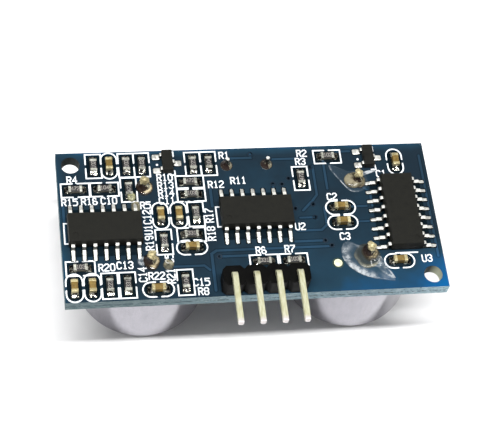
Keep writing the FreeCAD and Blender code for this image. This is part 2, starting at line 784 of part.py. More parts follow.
def make_base(name, x):
    """Plastic base: a disc closing the can, with a notched ring that holds the seat."""
    floor = "-can_back - base_thickness"
    base = spin(name, [
        ("0", "-can_back"), ("can_radius - can_wall", "-can_back"),
        ("can_radius - can_wall", floor), ("pedestal_outer", floor),
        ("pedestal_outer", "-pedestal_front"), ("pedestal_inner", "-pedestal_front"),
        ("pedestal_inner", floor), ("0", floor),
    ])
    notch = new_sketch(base, "XZ_Plane")
    add_rectangle(notch, "-notch_width / 2", "notch_width / 2",
                  "-pedestal_front", "notch_depth - pedestal_front")
    cut = pocket(base, notch, "2 * pedestal_outer", middle=True)
    cut.Refine = True
    holes = new_sketch(base, "XY_Plane", "-can_back")
    for y in ("-transducer_pin_y", "transducer_pin_y"):
        add_circle(holes, "0", y, "transducer_pin_radius")
    pocket(base, holes, "base_thickness")
    place(base, x)


def make_diaphragm(side, x):
    """Ceramic disc, metal plate and cone, glued together into one moving stack."""
    front = "-plate_back - plate_thickness"
    plate = spin(side + "_plate", [
        ("0", "-plate_back"), ("plate_radius", "-plate_back"),
        ("plate_radius", front), ("0", front)])
    piezo = spin(side + "_piezo", [
        ("0", "piezo_thickness - plate_back"),
        ("piezo_radius", "piezo_thickness - plate_back"),
        ("piezo_radius", "-plate_back"), ("0", "-plate_back")])
    mouth = f"{front} - cone_height"
    cone = spin(side + "_cone", [
        ("0", front), ("cone_foot_radius", front), ("cone_mouth_radius", mouth),
        ("cone_mouth_radius - cone_wall * 1.4", mouth),
        ("cone_foot_radius - cone_wall * 0.6", f"{front} - cone_wall"),
        ("0", f"{front} - cone_wall")])
    for part in (plate, piezo, cone):
        place(part, x)


def make_transducer_pins(side, x):
    pins = new_body(side + "_pins")
    outline = new_sketch(pins, "XY_Plane", "-transducer_pin_inner")
    for y in ("-transducer_pin_y", "transducer_pin_y"):
        add_circle(outline, "0", y, "transducer_pin_radius")
    pad(pins, outline, "transducer_pin_inner + board_thickness + transducer_pin_rise")
    top = size("board_thickness + transducer_pin_rise")
    dress(pins, "Fillet", "Radius", "transducer_pin_radius * 0.45",
          lambda edge: flat_at(edge, "Z", top))
    place(pins, x)


def make_wires(side, x):
    """Two fine wires: one pin to the plate's rim, the other to the ceramic disc."""
    wires = doc.addObject("Part::Feature", side + "_wires")
    wires.Label = side + "_wires"
    pin_end = size("-transducer_pin_inner - wire_radius")
    y = size("transducer_pin_y")
    gap = size("wire_radius + wire_gap")
    plate_end = Vector(0, y * 1.08, size("-plate_back") + gap)
    piezo_end = Vector(0, -y * 0.36, size("piezo_thickness - plate_back") + gap)
    routes = [
        [Vector(0, y, pin_end), Vector(0, y * 1.16, (pin_end + plate_end.z) / 2),
         plate_end],
        [Vector(0, -y, pin_end), Vector(0, -y * 0.78, pin_end - 1.3),
         Vector(0, -y * 0.5, piezo_end.z + 0.35), piezo_end],
    ]
    tubes = []
    for route in routes:
        curve = Part.BSplineCurve()
        curve.interpolate(route)
        path = Part.Wire(curve.toShape())
        start = Part.Circle(route[0], curve.tangent(curve.FirstParameter)[0],
                            size("wire_radius"))
        tubes.append(path.makePipeShell([Part.Wire(start.toShape())], True, True))
    wires.Shape = Part.makeCompound(tubes)
    place(wires, x)
    nodes.append(wires)


def make_transducer(side):
    x = side + "_x"
    make_can(side + "_can", x)
    make_mesh_screen(side + "_mesh", x)
    make_base(side + "_base", x)
    seat = spin(side + "_seat", [
        ("pedestal_inner", "-pedestal_front"), ("pedestal_outer", "-pedestal_front"),
        ("pedestal_outer", "-pedestal_front - seat_thickness"),
        ("pedestal_inner", "-pedestal_front - seat_thickness")])
    place(seat, x)
    make_diaphragm(side, x)
    make_transducer_pins(side, x)
    make_wires(side, x)


def make_transducer_solder():
    joint = spin("transducer_joint",
                 joint_profile("transducer_pin_radius", "joint_foot_radius",
                               "joint_rise", "wide_hole_radius", face_up=True),
                 is_node=False)
    group("transducer_solder", [copy_of(joint, x, y, "0") for x, y in transducer_pins])


# ---------------------------------------------------------------- quartz crystal

def add_stadium(sketch, length, width, inset="0"):
    """A slot shape: two straight sides joined by half circles."""
    radius = f"({width} / 2 - ({inset}))"
    straight = f"({length} / 2 - {width} / 2)"
    # each half circle is two quarters
    add_outline(sketch, [
        (f"-{straight}", f"-{radius}"),
        (straight, f"-{radius}", radius), (f"{straight} + {radius}", "0", radius),
        (straight, radius),
        (f"-{straight}", radius, radius), (f"-{straight} - {radius}", "0", radius),
    ])


def make_crystal():
    top = "-crystal_gap"
    flange = f"{top} - crystal_flange"
    front = f"{top} - crystal_height"
    base_face = f"{top} - crystal_base_height"
    centre = ("crystal_x", "crystal_y")
    half_spread = "crystal_lead_spread / 2"

    # steel can with a flange that is welded round the base
    can = new_body("crystal_can")
    outline = new_sketch(can, "XY_Plane", front)
    add_stadium(outline, "crystal_length", "crystal_width", "crystal_can_inset")
    pad(can, outline, "crystal_height")
    crown = size(front)
    dress(can, "Fillet", "Radius", "crystal_can_corner",
          lambda edge: flat_at(edge, "Z", crown))
    rim = new_sketch(can, "XY_Plane", flange)
    add_stadium(rim, "crystal_length", "crystal_width")
    pad(can, rim, "crystal_flange")
    hollow = new_sketch(can, "XY_Plane", top)
    add_stadium(hollow, "crystal_length", "crystal_width",
                "crystal_can_inset + crystal_can_wall")
    pocket(can, hollow, "crystal_height - crystal_can_wall")
    place(can, *centre)

    base = new_body("crystal_base")
    outline = new_sketch(base, "XY_Plane", base_face)
    add_stadium(outline, "crystal_length", "crystal_width",
                "crystal_can_inset + crystal_can_wall")
    pad(base, outline, "crystal_base_height")
    seals = new_sketch(base, "XY_Plane", base_face)
    for x in (f"-{half_spread}", half_spread):
        add_circle(seals, x, "0", "crystal_seal_radius")
    pocket(base, seals, "crystal_base_height", downward=False)
    place(base, *centre)

    seal = spin("glass_seal", [
        ("crystal_lead_radius", top), ("crystal_seal_radius", top),
        ("crystal_seal_radius", base_face), ("crystal_lead_radius", base_face)],
        is_node=False)
    group("crystal_seals", [copy_of(seal, x, y, "0") for x, y in crystal_leads])

    leads = new_body("crystal_leads")
    outline = new_sketch(leads, "XY_Plane", f"{base_face} - crystal_lead_inside")
    for x in (f"-{half_spread}", half_spread):
        add_circle(outline, x, "0", "crystal_lead_radius")
    pad(leads, outline, "crystal_gap + crystal_base_height + crystal_lead_inside"
        " + board_thickness + crystal_lead_rise")
    place(leads, *centre)

    # each clip steps from the end of a lead to the end of the quartz blank
    clips = new_body("crystal_clips")
    outline = new_sketch(clips, "XZ_Plane")
    foot = f"{base_face} - crystal_lead_inside"
    inner = f"{half_spread} - clip_reach / 2"
    knee = f"{half_spread} + crystal_lead_radius"
    step = "clip_step"
    add_outline(outline, [
        (inner, foot), (knee, foot), (knee, f"{foot} - {step}"),
        (f"{knee} + clip_reach", f"{foot} - {step}"),
        (f"{knee} + clip_reach", f"{foot} - {step} - clip_thickness"),
        (f"{knee} - clip_thickness", f"{foot} - {step} - clip_thickness"),
        (f"{knee} - clip_thickness", f"{foot} - clip_thickness"),
        (inner, f"{foot} - clip_thickness"),
    ])
    first = pad(clips, outline, "clip_width", middle=True)
    mirror(clips, first, "YZ_Plane")
    place(clips, *centre)

    blank = new_body("quartz_blank")
    outline = new_sketch(blank, "XY_Plane",
                         f"{foot} - {step} - clip_thickness - blank_thickness")
    add_rectangle(outline, "-blank_length / 2", "blank_length / 2",
                  "-blank_width / 2", "blank_width / 2")
    pad(blank, outline, "blank_thickness")
    place(blank, *centre)

    joint = spin("crystal_joint",
                 joint_profile("crystal_lead_radius", "crystal_joint_radius",
                               "crystal_joint_rise", "narrow_hole_radius",
                               face_up=True),
                 is_node=False)
    group("crystal_solder", [copy_of(joint, x, y, "0") for x, y in crystal_leads])


# ---------------------------------------------------------------- build and write

def check_document():
    """Stop if anything failed to build, before any file is written."""
    for thing in doc.Objects:
        if "Invalid" in thing.State or "Error" in thing.State:
            raise RuntimeError(f"{thing.Label} failed: {thing.State}")
    for node in nodes:
        if node.Shape.isNull() or not node.Shape.isValid():
            raise RuntimeError(node.Label + " has no valid shape")
        if not node.Shape.Solids:
            raise RuntimeError(node.Label + " has no solid")


make_board()
make_plated_holes()
make_surface_parts()
make_header_block()
make_header_pins()
make_header_solder()
make_transducer("receiver")
make_transducer("transmitter")
make_transducer_solder()
make_crystal()

doc.recompute()
check_document()
for node in nodes:
    node.Shape.exportStep(f"parts/{node.Label}.step")
print(len(nodes), "nodes")
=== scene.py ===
"""Looks of the ultrasonic distance sensor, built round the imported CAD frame.

Lengths are millimetres and MM turns them into the frame's metres; only the lamps and
the camera's clipping are given in metres. Places are read from the frame's nodes, and
only the printed ink, the copper pattern and the flux stains have a layout of their own.
"""
import json
import math
import random

import bmesh
import bpy
from mathutils import Matrix, Vector, noise


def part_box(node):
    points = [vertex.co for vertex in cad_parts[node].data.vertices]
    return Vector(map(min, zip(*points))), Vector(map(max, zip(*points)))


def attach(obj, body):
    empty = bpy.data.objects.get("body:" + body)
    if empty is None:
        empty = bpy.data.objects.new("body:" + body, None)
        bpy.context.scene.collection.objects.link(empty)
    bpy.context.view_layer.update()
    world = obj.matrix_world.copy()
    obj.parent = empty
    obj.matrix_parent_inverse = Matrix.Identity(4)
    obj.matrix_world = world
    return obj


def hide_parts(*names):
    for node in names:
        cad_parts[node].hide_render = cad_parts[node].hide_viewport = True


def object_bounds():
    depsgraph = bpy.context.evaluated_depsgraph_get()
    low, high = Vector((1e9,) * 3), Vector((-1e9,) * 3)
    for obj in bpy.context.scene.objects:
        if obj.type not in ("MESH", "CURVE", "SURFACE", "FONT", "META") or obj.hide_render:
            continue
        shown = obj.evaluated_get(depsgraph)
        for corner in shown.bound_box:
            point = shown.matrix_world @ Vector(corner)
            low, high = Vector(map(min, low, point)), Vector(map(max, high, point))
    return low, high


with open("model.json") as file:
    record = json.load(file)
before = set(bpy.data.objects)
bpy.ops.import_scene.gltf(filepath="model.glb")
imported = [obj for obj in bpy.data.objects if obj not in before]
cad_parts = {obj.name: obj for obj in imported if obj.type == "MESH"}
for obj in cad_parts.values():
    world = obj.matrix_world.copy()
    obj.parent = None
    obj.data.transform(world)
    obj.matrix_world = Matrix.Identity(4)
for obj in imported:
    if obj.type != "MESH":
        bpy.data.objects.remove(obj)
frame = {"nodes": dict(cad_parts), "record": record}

MM = 0.001
cad_low, cad_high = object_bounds()
ROOT = "module"
SIDES = ("receiver", "transmitter")


# ------------------------------------------------------------------ reading the frame

def box_mm(node):
    """Lowest and highest corner of a CAD node, in millimetres."""
    low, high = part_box(node)
    return Vector(low) / MM, Vector(high) / MM


def middle_of(box):
    low, high = box
    return (low + high) / 2


def solids(node, below=math.inf):
    """Lowest and highest corner of every separate solid in a CAD node.

    Only the points below a height count, so that a lead can give its foot alone.
    """
    welded = bmesh.new()
    welded.from_mesh(frame["nodes"][node].data)
    bmesh.ops.remove_doubles(welded, verts=welded.verts, dist=1e-7)
    unseen = set(welded.verts)
    boxes = []
    while unseen:
        stack = [unseen.pop()]
        island = []
        while stack:
            vert = stack.pop()
            if vert.co.z / MM < below:
                island.append(vert.co / MM)
            for edge in vert.link_edges:
                other = edge.other_vert(vert)
                if other in unseen:
                    unseen.remove(other)
                    stack.append(other)
        low = Vector([min(co[axis] for co in island) for axis in range(3)])
        high = Vector([max(co[axis] for co in island) for axis in range(3)])
        boxes.append((low, high))
    welded.free()
    return sorted(boxes, key=lambda pair: (round(pair[0].x, 3), round(pair[0].y, 3)))


def chips(node):
    """Middle of every two-ended chip in a node, and whether it lies along X."""
    for low, high in solids(node):
        yield (low + high) / 2, high.x - low.x > high.y - low.y


def header_feet():
    """Where the upright legs of the header's four pins cross the board."""
    for number in range(1, 5):
        low, high = box_mm(f"header_pin_{number}")
        half_wire = (high.x - low.x) / 2
        yield number, (low.x + high.x) / 2, high.y - half_wire


board_low, board_high = box_mm("circuit_board")
TOP = board_high.z
BOTTOM = board_low.z
LAND_TOP = box_mm("surface_lands")[1].z


# ------------------------------------------------------------------ shader helpers

def rgb(red, green, blue):
    """A display colour of 0 to 255 as a linear RGBA value."""
    linear = []
    for channel in (red, green, blue):
        part = channel / 255
        linear.append(part / 12.92 if part <= 0.04045 else ((part + 0.055) / 1.055) ** 2.4)
    return (*linear, 1.0)


class Nodes:
    """A node tree, with a short call for each shader node that this script uses.

    Wherever a value is asked for, a socket is linked and anything else is set.
    """

    def __init__(self, tree):
        self.tree = tree

    def plug(self, socket, value):
        if isinstance(value, bpy.types.NodeSocket):
            self.tree.links.new(value, socket)
        else:
            socket.default_value = value

    def feed(self, node, **inputs):
        """Fill a node's inputs by name, with an underscore for each space."""
        for name, value in inputs.items():
            self.plug(node.inputs[name.replace("_", " ")], value)

    def add(self, kind, settings=None, **inputs):
        node = self.tree.nodes.new("ShaderNode" + kind)
        for name, value in (settings or {}).items():
            setattr(node, name, value)
        self.feed(node, **inputs)
        return node

    def maths(self, operation, *values, clamp=False):
        node = self.add("Math", {"operation": operation, "use_clamp": clamp})
        for socket, value in zip(node.inputs, values):
            self.plug(socket, value)
        return node.outputs[0]

    def plus(self, first, second, clamp=False):
        return self.maths("ADD", first, second, clamp=clamp)

    def times(self, first, second):
        return self.maths("MULTIPLY", first, second)

    def larger(self, first, second):
        return self.maths("MAXIMUM", first, second)

    def vector(self, operation, first, second=(0, 0, 0), **inputs):
        """The node of a calculation with vectors."""
        node = self.add("VectorMath", {"operation": operation}, **inputs)
        self.plug(node.inputs[0], first)
        self.plug(node.inputs[1], second)
        return node

    def part(self, vector, axis):
        return self.add("SeparateXYZ", Vector=vector).outputs[axis]

    def facing(self, axis):
        """One part of the surface's normal."""
        return self.part(self.add("NewGeometry").outputs["Normal"], axis)

    def spread(self, value, low, high, new_low=0.0, new_high=1.0):
        """Map value from low..high to new_low..new_high, clamped."""
        return self.add("MapRange", Value=value, From_Min=low, From_Max=high,
                        To_Min=new_low, To_Max=new_high).outputs[0]

    def ramp(self, factor, *stops):
        """Blend colours along a 0 to 1 factor; a stop is (position, colour)."""
        node = self.add("ValToRGB", Fac=factor)
        elements = node.color_ramp.elements
        while len(elements) < len(stops):
            elements.new(0.5)
        for element, (position, colour) in zip(elements, stops):
            element.position = position
            element.color = colour
        return node.outputs["Color"]

    def mix(self, factor, first, second, blend="MIX"):
        """Blend two colours."""
        node = self.add("Mix", {"data_type": "RGBA", "blend_type": blend})
        self.plug(node.inputs[0], factor)
        self.plug(node.inputs[6], first)
        self.plug(node.inputs[7], second)
        return node.outputs[2]

    def choose(self, factor, first, second):
        """Blend two numbers."""
        node = self.add("Mix", {"data_type": "FLOAT"})
        self.plug(node.inputs[0], factor)
        self.plug(node.inputs[2], first)
        self.plug(node.inputs[3], second)
        return node.outputs[0]


class Paint(Nodes):
    """A principled material in the making."""

    def __init__(self, name, **inputs):
        self.material = bpy.data.materials.new(name)
        self.material.use_nodes = True
        super().__init__(self.material.node_tree)
        self.shader = self.tree.nodes["Principled BSDF"]
        self.feed(self.shader, **inputs)
        place = self.add("TexCoord").outputs["Object"]
        self.point = self.vector("SCALE", place, Scale=1 / MM).outputs[0]

    def coordinate(self, axis):
        """One coordinate of the surface's point, in millimetres."""
        return self.part(self.point, axis)

    def noise(self, grain, detail=3.0, roughness=0.55, stretch=None):
        """Noise from 0 to 1 whose features are about grain millimetres across."""
        point = self.point
        if stretch:
            point = self.add("Mapping", Vector=point, Scale=stretch).outputs[0]
        return self.add("TexNoise", Vector=point, Scale=1 / grain, Detail=detail,
                        Roughness=roughness).outputs["Fac"]

    def finish(self, relief=None, depth=0.0, **inputs):
        """Fill the shader's inputs; relief is a 0 to 1 height that is depth mm tall."""
        self.feed(self.shader, **inputs)
        if depth:
            bump = self.add("Bump", Height=relief, Distance=depth * MM, Strength=1.0)
            self.feed(self.shader, Normal=bump.outputs[0])
        return self.material


# ------------------------------------------------------------------ materials

def mottled(name, dark, light, grain, roughness, metallic=0.0, depth=0.0,
            detail=4.0, rough_spread=0.08, **inputs):
    """A surface whose colour, roughness and relief all follow one grain of noise."""
    paint = Paint(name, Metallic=metallic, **inputs)
    grainy = paint.noise(grain, detail)
    broad = paint.noise(grain * 7, 2.0)
    tone = paint.plus(paint.times(grainy, 0.6), paint.times(broad, 0.4))
    colour = paint.ramp(tone, (0.32, rgb(*dark)), (0.68, rgb(*light)))
    rough = paint.spread(broad, 0.3, 0.7, roughness - rough_spread,
                         roughness + rough_spread)
    return paint.finish(grainy, depth, Base_Color=colour, Roughness=rough)


MASK_SHEEN = 0.25
MASK_RELIEF = 0.004
# Tones of the solder mask in shade, in the open and in painted light
MASK_TONES = (rgb(27, 40, 50), rgb(30, 55, 71), rgb(15, 84, 137))
COPPER_TONES = (rgb(34, 54, 69), rgb(39, 69, 93), rgb(25, 98, 155))
GAP_TONES = (rgb(19, 31, 40), rgb(21, 41, 55), rgb(11, 66, 113))
# Mask round the parts: copper-free, and darker still by painted shade under and between the
# parts
CLEARANCE_AND_SHADE_TONES = (rgb(8, 20, 26), rgb(12, 28, 38), rgb(12, 50, 80))


def mask_colour(paint, dark, middle, bright):
    """Solder mask: dull petrol blue in broad clouds, and a clearer blue where painted light
    falls.

    The painted light lies towards the front right corner and along the left and back edges.
    """
    x, y = paint.coordinate("X"), paint.coordinate("Y")
    near = paint.spread(y, -3.0, board_low.y)
    right = paint.spread(x, -6.0, board_high.x - 2.0, 0.05, 0.55)
    corner = paint.spread(x, board_high.x - 4.0, board_high.x, 0.0, 0.45)
    front = paint.times(near, paint.plus(right, corner))
    left = paint.spread(x, board_low.x + 0.9, board_low.x, 0.0, 0.25)
    back = paint.spread(y, board_high.y - 1.1, board_high.y, 0.0, 0.40)
    cloudy = paint.spread(paint.noise(4.5), 0.3, 0.7, 0.0, 0.22)
    # Painted light towards the front right corner and the left and back edges, plus broad
    # clouds of tone
    painted_light_and_clouds = paint.plus(front, paint.plus(paint.larger(left, back), cloudy))
    return paint.ramp(painted_light_and_clouds, (0.05, dark), (0.40, middle), (0.95, bright))


def make_mask(name, tones):
    """Solder mask lying over copper or over a gap in it."""
    paint = Paint(name, Roughness=0.20, Specular_IOR_Level=MASK_SHEEN)
    return paint.finish(paint.noise(0.12, 2.0), MASK_RELIEF,
                        Base_Color=mask_colour(paint, *tones))


def laminate_colour(paint):
    """Cut glass-fibre edge: pale, with thin plies and dark flecks.

    It is painted greyer towards the left as painted shade, and a torn seam runs along it
    below the middle.
    """
    plies = paint.noise(0.35, stretch=(0.35, 0.35, 3.0))
    pale = paint.ramp(plies, (0.28, rgb(104, 136, 148)), (0.50, rgb(150, 176, 186)),
                      (0.72, rgb(212, 226, 232)))
    # Painted shade: the edge is painted darker towards its left end
    along = paint.spread(paint.coordinate("X"), -14.0, 21.0)
    tint = paint.ramp(along, (0.0, (0.40, 0.42, 0.40, 1)), (0.35, (0.60, 0.62, 0.62, 1)),
                      (0.80, (0.62, 0.64, 0.66, 1)), (1.0, (1, 1, 1, 1)))
    seam_height = BOTTOM + 0.42 * (TOP - BOTTOM)
    from_seam = paint.maths("ABSOLUTE",
                            paint.maths("SUBTRACT", paint.coordinate("Z"), seam_height))
    torn = paint.noise(0.5, stretch=(1.0, 1.0, 0.3))
    seam = paint.times(paint.spread(from_seam, 0.05, 0.16, 1.0, 0.0),
                       paint.spread(torn, 0.40, 0.56))
    flecks = paint.noise(0.22, 2.0, stretch=(0.7, 0.7, 1.5))
    spots = paint.larger(paint.spread(flecks, 0.60, 0.67), seam)
    return paint.mix(spots, paint.mix(1.0, pale, tint, "MULTIPLY"), rgb(58, 76, 84))


def hole_wall_colour(paint):
    """Glass fibre painted dark as shade, with painted light where it faces left, more so
    towards the right end.
    """
    # Painted light on the walls that face left, growing towards the right end; the rest is
    # painted shade
    leftward = paint.spread(paint.facing("X"), 0.1, -0.8)
    wear_and_light = paint.times(leftward, paint.spread(paint.coordinate("X"), 0.0, board_high.x - 2.0))
    return paint.mix(wear_and_light, rgb(40, 46, 44), rgb(176, 180, 156))


def make_board():
    """Blue solder mask on both faces, bare laminate on the edges and in the holes."""
    paint = Paint("board", Specular_IOR_Level=MASK_SHEEN)
    is_face = paint.maths("GREATER_THAN", paint.maths("ABSOLUTE", paint.facing("Z")), 0.5)
    beyond = [paint.maths("SUBTRACT", paint.maths("ABSOLUTE", paint.coordinate(axis)), half)
              for axis, half in (("X", board_high.x), ("Y", board_high.y))]
    in_hole = paint.maths("LESS_THAN", paint.larger(*beyond), -0.02)
    cut = paint.mix(in_hole, laminate_colour(paint), hole_wall_colour(paint))
    colour = paint.mix(is_face, cut, mask_colour(paint, *MASK_TONES))
    mask_rough = paint.spread(paint.noise(3.0, 4.0), 0.35, 0.65, 0.14, 0.24)
    cut_rough = 0.75
    rough = paint.plus(paint.times(is_face, mask_rough),
                       paint.times(paint.maths("SUBTRACT", 1.0, is_face), cut_rough))
    weave = [paint.add("TexWave", {"wave_type": "BANDS", "bands_direction": axis},
                       Vector=paint.point, Scale=0.9, Distortion=0.6).outputs["Fac"]
             for axis in "XY"]
    relief = paint.plus(paint.times(paint.larger(*weave), 0.6),
                        paint.times(paint.noise(0.12, 2.0), 0.4))
    return paint.finish(relief, MASK_RELIEF, Base_Color=colour, Roughness=rough)


def make_ink(name, wear_and_light, fresh):
    """Printing ink, a little thin and ragged."""
    paint = Paint(name, Roughness=0.55)
    patchy = paint.noise(0.16)
    colour = paint.ramp(patchy, (0.28, wear_and_light), (0.46, fresh))
    return paint.finish(patchy, 0.006, Base_Color=colour)


def make_stained_solder():
    """Hand-made joints: bright alloy under a brown skin of burnt flux, with a painted
    highlight where they face right.
    """
    paint = Paint("stained_solder", Coat_Weight=0.5, Coat_Roughness=0.1)
    # Painted highlight: the brown skin gives way to bright alloy where the joint faces right,
    # along +X
    painted_glint = paint.times(paint.spread(paint.facing("X"), 0.20, 0.55), 0.30)
    burnt = paint.maths("SUBTRACT", paint.noise(0.4, 4.0), painted_glint)
    stain = paint.spread(burnt, 0.28, 0.38)
    return paint.finish(
        paint.noise(0.25), 0.03,
        Base_Color=paint.mix(stain, rgb(226, 216, 186), rgb(38, 24, 18)),
        Metallic=paint.spread(stain, 0, 1, 1.0, 0.35),
        Roughness=paint.spread(stain, 0, 1, 0.22, 0.4))


def make_leads():
    """Tinned leads: painted light where they face up or down, painted shade where they face
    sideways.
    """
    paint = Paint("tinned_leads", Metallic=0.7)
    grainy = paint.noise(0.2, 4.0)
    bright = paint.ramp(grainy, (0.3, rgb(214, 214, 206)), (0.6, rgb(252, 252, 246)))
    # Painted light on faces that point up or down, a painted shade of dark grey on faces that
    # point sideways
    level = paint.spread(paint.maths("ABSOLUTE", paint.facing("Z")), 0.35, 0.85)
    return paint.finish(grainy, 0.006,
                        Base_Color=paint.mix(level, rgb(58, 58, 56), bright),
                        Roughness=paint.spread(level, 0, 1, 0.3, 0.52))


def make_header_pins():
    """Pale gilt pins, whiter at their free ends."""
    paint = Paint("gold_pin", Metallic=0.4, Roughness=0.4)
    grainy = paint.noise(0.4, 4.0, stretch=(2.0, 0.4, 2.0))
    gilt = paint.ramp(grainy, (0.36, rgb(184, 182, 142)), (0.64, rgb(210, 210, 184)))
    end = box_mm("header_pin_1")[0].y
    whiter_end = paint.spread(paint.coordinate("Y"), end + 0.8, end + 0.35)
    return paint.finish(grainy, 0.006,
                        Base_Color=paint.mix(whiter_end, gilt, rgb(212, 206, 204)))


def make_chip_solder():
    """Solder on the lands of the small chips: painted mostly near black as a painted dark
    reflection, with bright patches that catch sharp glints.
    """
    paint = Paint("chip_solder", Metallic=1.0, Roughness=0.2)
    # Painted dark reflection over most of the solder, bright tin in the rest
    colour = paint.ramp(paint.noise(0.28), (0.47, rgb(15, 18, 19)),
                        (0.60, rgb(232, 228, 212)))
    return paint.finish(paint.noise(0.2, 2.0), 0.02, Base_Color=colour)


def make_can_aluminium():
    """Drawn aluminium: faint upright draw lines, matt, with a few light scuffs."""
    paint = Paint("can_aluminium", Metallic=0.74)
    drawn = paint.noise(0.30, stretch=(1.0, 1.0, 0.15))
    scuffs = paint.noise(1.6, 5.0, roughness=0.7)
    tone = paint.plus(paint.times(drawn, 0.45), paint.times(scuffs, 0.55))
    return paint.finish(
        drawn, 0.0006,
        Base_Color=paint.ramp(tone, (0.34, rgb(150, 148, 155)), (0.66, rgb(166, 164, 171))),
        Roughness=paint.spread(scuffs, 0.3, 0.7, 0.09, 0.16))


def make_flux(name, tint, milk_and_glint, least, most):
    """Dried flux: a glassy film that takes its milk colour where a point attribute is high;
    that colour is real milky residue on most puddles and a painted highlight on the burnt
    collars.

    Its opacity is least where it is clear, and grows by most where it is milky.
    """
    paint = Paint(name)
    frost_and_glint = paint.add("Attribute", {"attribute_name": "frost_and_glint"}).outputs["Fac"]
    streaks = paint.noise(0.8, 5.0, roughness=0.62)
    # On the burnt collars this milky share is a painted highlight, elsewhere real milky
    # residue
    milky_and_glint = paint.times(frost_and_glint, paint.spread(streaks, 0.36, 0.62, 0.12, 1.0))
    return paint.finish(
        streaks, 0.02,
        Base_Color=paint.mix(paint.spread(milky_and_glint, 0.0, 0.5), rgb(*tint), rgb(*milk_and_glint)),
        Alpha=paint.plus(least, paint.times(milky_and_glint, most), clamp=True),
        Roughness=paint.spread(milky_and_glint, 0, 1, 0.08, 0.45))


GRAINY = {
    # material: dark and light tone, grain in mm, roughness, metallic, relief in mm
    "tinned_copper": ((160, 162, 158), (214, 215, 208), 0.25, 0.24, 1.0, 0.01),
    "gold_plate": ((226, 222, 180), (250, 248, 216), 0.3, 0.45, 0.3, 0.006),
    "solder": ((140, 140, 134), (214, 214, 206), 0.3, 0.16, 1.0, 0.03),
    "lead_solder": ((168, 168, 160), (254, 254, 248), 0.22, 0.40, 0.6, 0.03),
    "moulding_compound": ((14, 14, 11), (26, 26, 21), 0.09, 0.62, 0.0, 0.012),
    "alumina": ((70, 68, 60), (116, 112, 100), 0.2, 0.5),
    "resistor_glaze": ((20, 20, 22), (38, 38, 40), 0.18, 0.35, 0.0, 0.01),
    "capacitor_ceramic": ((82, 66, 28), (140, 114, 54), 0.25, 0.45, 0.0, 0.008),
    "header_plastic": ((4, 4, 4), (9, 9, 8), 0.14, 0.55, 0.0, 0.01),
    "crystal_steel": ((136, 136, 132), (172, 172, 168), 0.5, 0.24, 1.0, 0.002),
    "mesh_wire": ((120, 122, 124), (186, 188, 188), 0.3, 0.3, 1.0),
    "base_plastic": ((20, 20, 20), (34, 34, 34), 0.2, 0.55, 0.0, 0.01),
    "silicone": ((190, 190, 184), (220, 220, 212), 0.5, 0.45, 0.0, 0.02),
    "diaphragm_metal": ((170, 140, 82), (208, 178, 112), 0.3, 0.35, 1.0, 0.004),
    "piezo_ceramic": ((188, 184, 168), (222, 220, 206), 0.2, 0.5, 0.0, 0.006),
    "cone_aluminium": ((176, 178, 180), (222, 223, 224), 0.4, 0.28, 1.0, 0.004),
    "transducer_pin": ((104, 88, 48), (246, 234, 186), 0.22, 0.38, 0.4, 0.06),
    "copper_wire": ((150, 84, 44), (196, 118, 66), 0.2, 0.3, 1.0),
    "seal_glass": ((22, 38, 32), (40, 62, 52), 0.3, 0.12),
    "quartz": ((196, 204, 206), (228, 234, 234), 0.5, 0.1),
    "bare_laminate": ((12, 36, 32), (22, 54, 48), 0.2, 0.5),
    "bright_tin": ((96, 98, 88), (250, 250, 236), 0.2, 0.3, 0.55, 0.03),
    "cream_tin": ((140, 126, 84), (244, 232, 184), 0.2, 0.30, 0.5, 0.02),
    # lands painted dark over their tin, a painted dark reflection
    "painted_dark_land": ((40, 46, 48), (92, 96, 94), 0.25, 0.25, 1.0, 0.01),
    "tented_via": ((8, 18, 26), (18, 38, 54), 0.2, 0.35),
}
GRAINY_EXTRAS = {
    "solder": {"rough_spread": 0.05},
    "moulding_compound": {"detail": 6.0, "Specular_IOR_Level": 0.2},
    "header_plastic": {"Specular_IOR_Level": 0.06},
    "quartz": {"Alpha": 0.6},
}
MATERIALS = {name: mottled(name, *look, **GRAINY_EXTRAS.get(name, {}))
             for name, look in GRAINY.items()}
MATERIALS["board"] = make_board()
MATERIALS["tinned_leads"] = make_leads()
MATERIALS["chip_solder"] = make_chip_solder()
MATERIALS["gold_pin"] = make_header_pins()
MATERIALS["can_aluminium"] = make_can_aluminium()

INK = make_ink("silkscreen_ink", rgb(196, 206, 214), rgb(244, 247, 250))
CODE_INK = make_ink("code_ink", rgb(92, 90, 86), rgb(150, 146, 140))
COPPER = make_mask("mask_over_copper", COPPER_TONES)
GAP = make_mask("mask_over_gap", GAP_TONES)
CLEARANCE_AND_SHADE = make_mask("mask_round_parts_with_shade", CLEARANCE_AND_SHADE_TONES)
STAINED = make_stained_solder()
FLUX = make_flux("flux", (104, 124, 140), (206, 212, 216), 0.10, 0.66)
AMBER_FLUX = make_flux("amber_flux", (70, 66, 48), (150, 144, 118), 0.34, 0.4)
DOME_FLUX = make_flux("dome_flux", (84, 80, 62), (146, 138, 114), 0.62, 0.3)
OLIVE_FLUX = make_flux("olive_flux", (96, 98, 70), (164, 162, 126), 0.60, 0.3)
# Brown burnt flux whose milk colour is a painted beige highlight on the collars' right side
BURNT_FLUX_WITH_GLINT = make_flux("burnt_flux_with_glint", (30, 20, 18), (214, 198, 160), 0.55, 0.4)

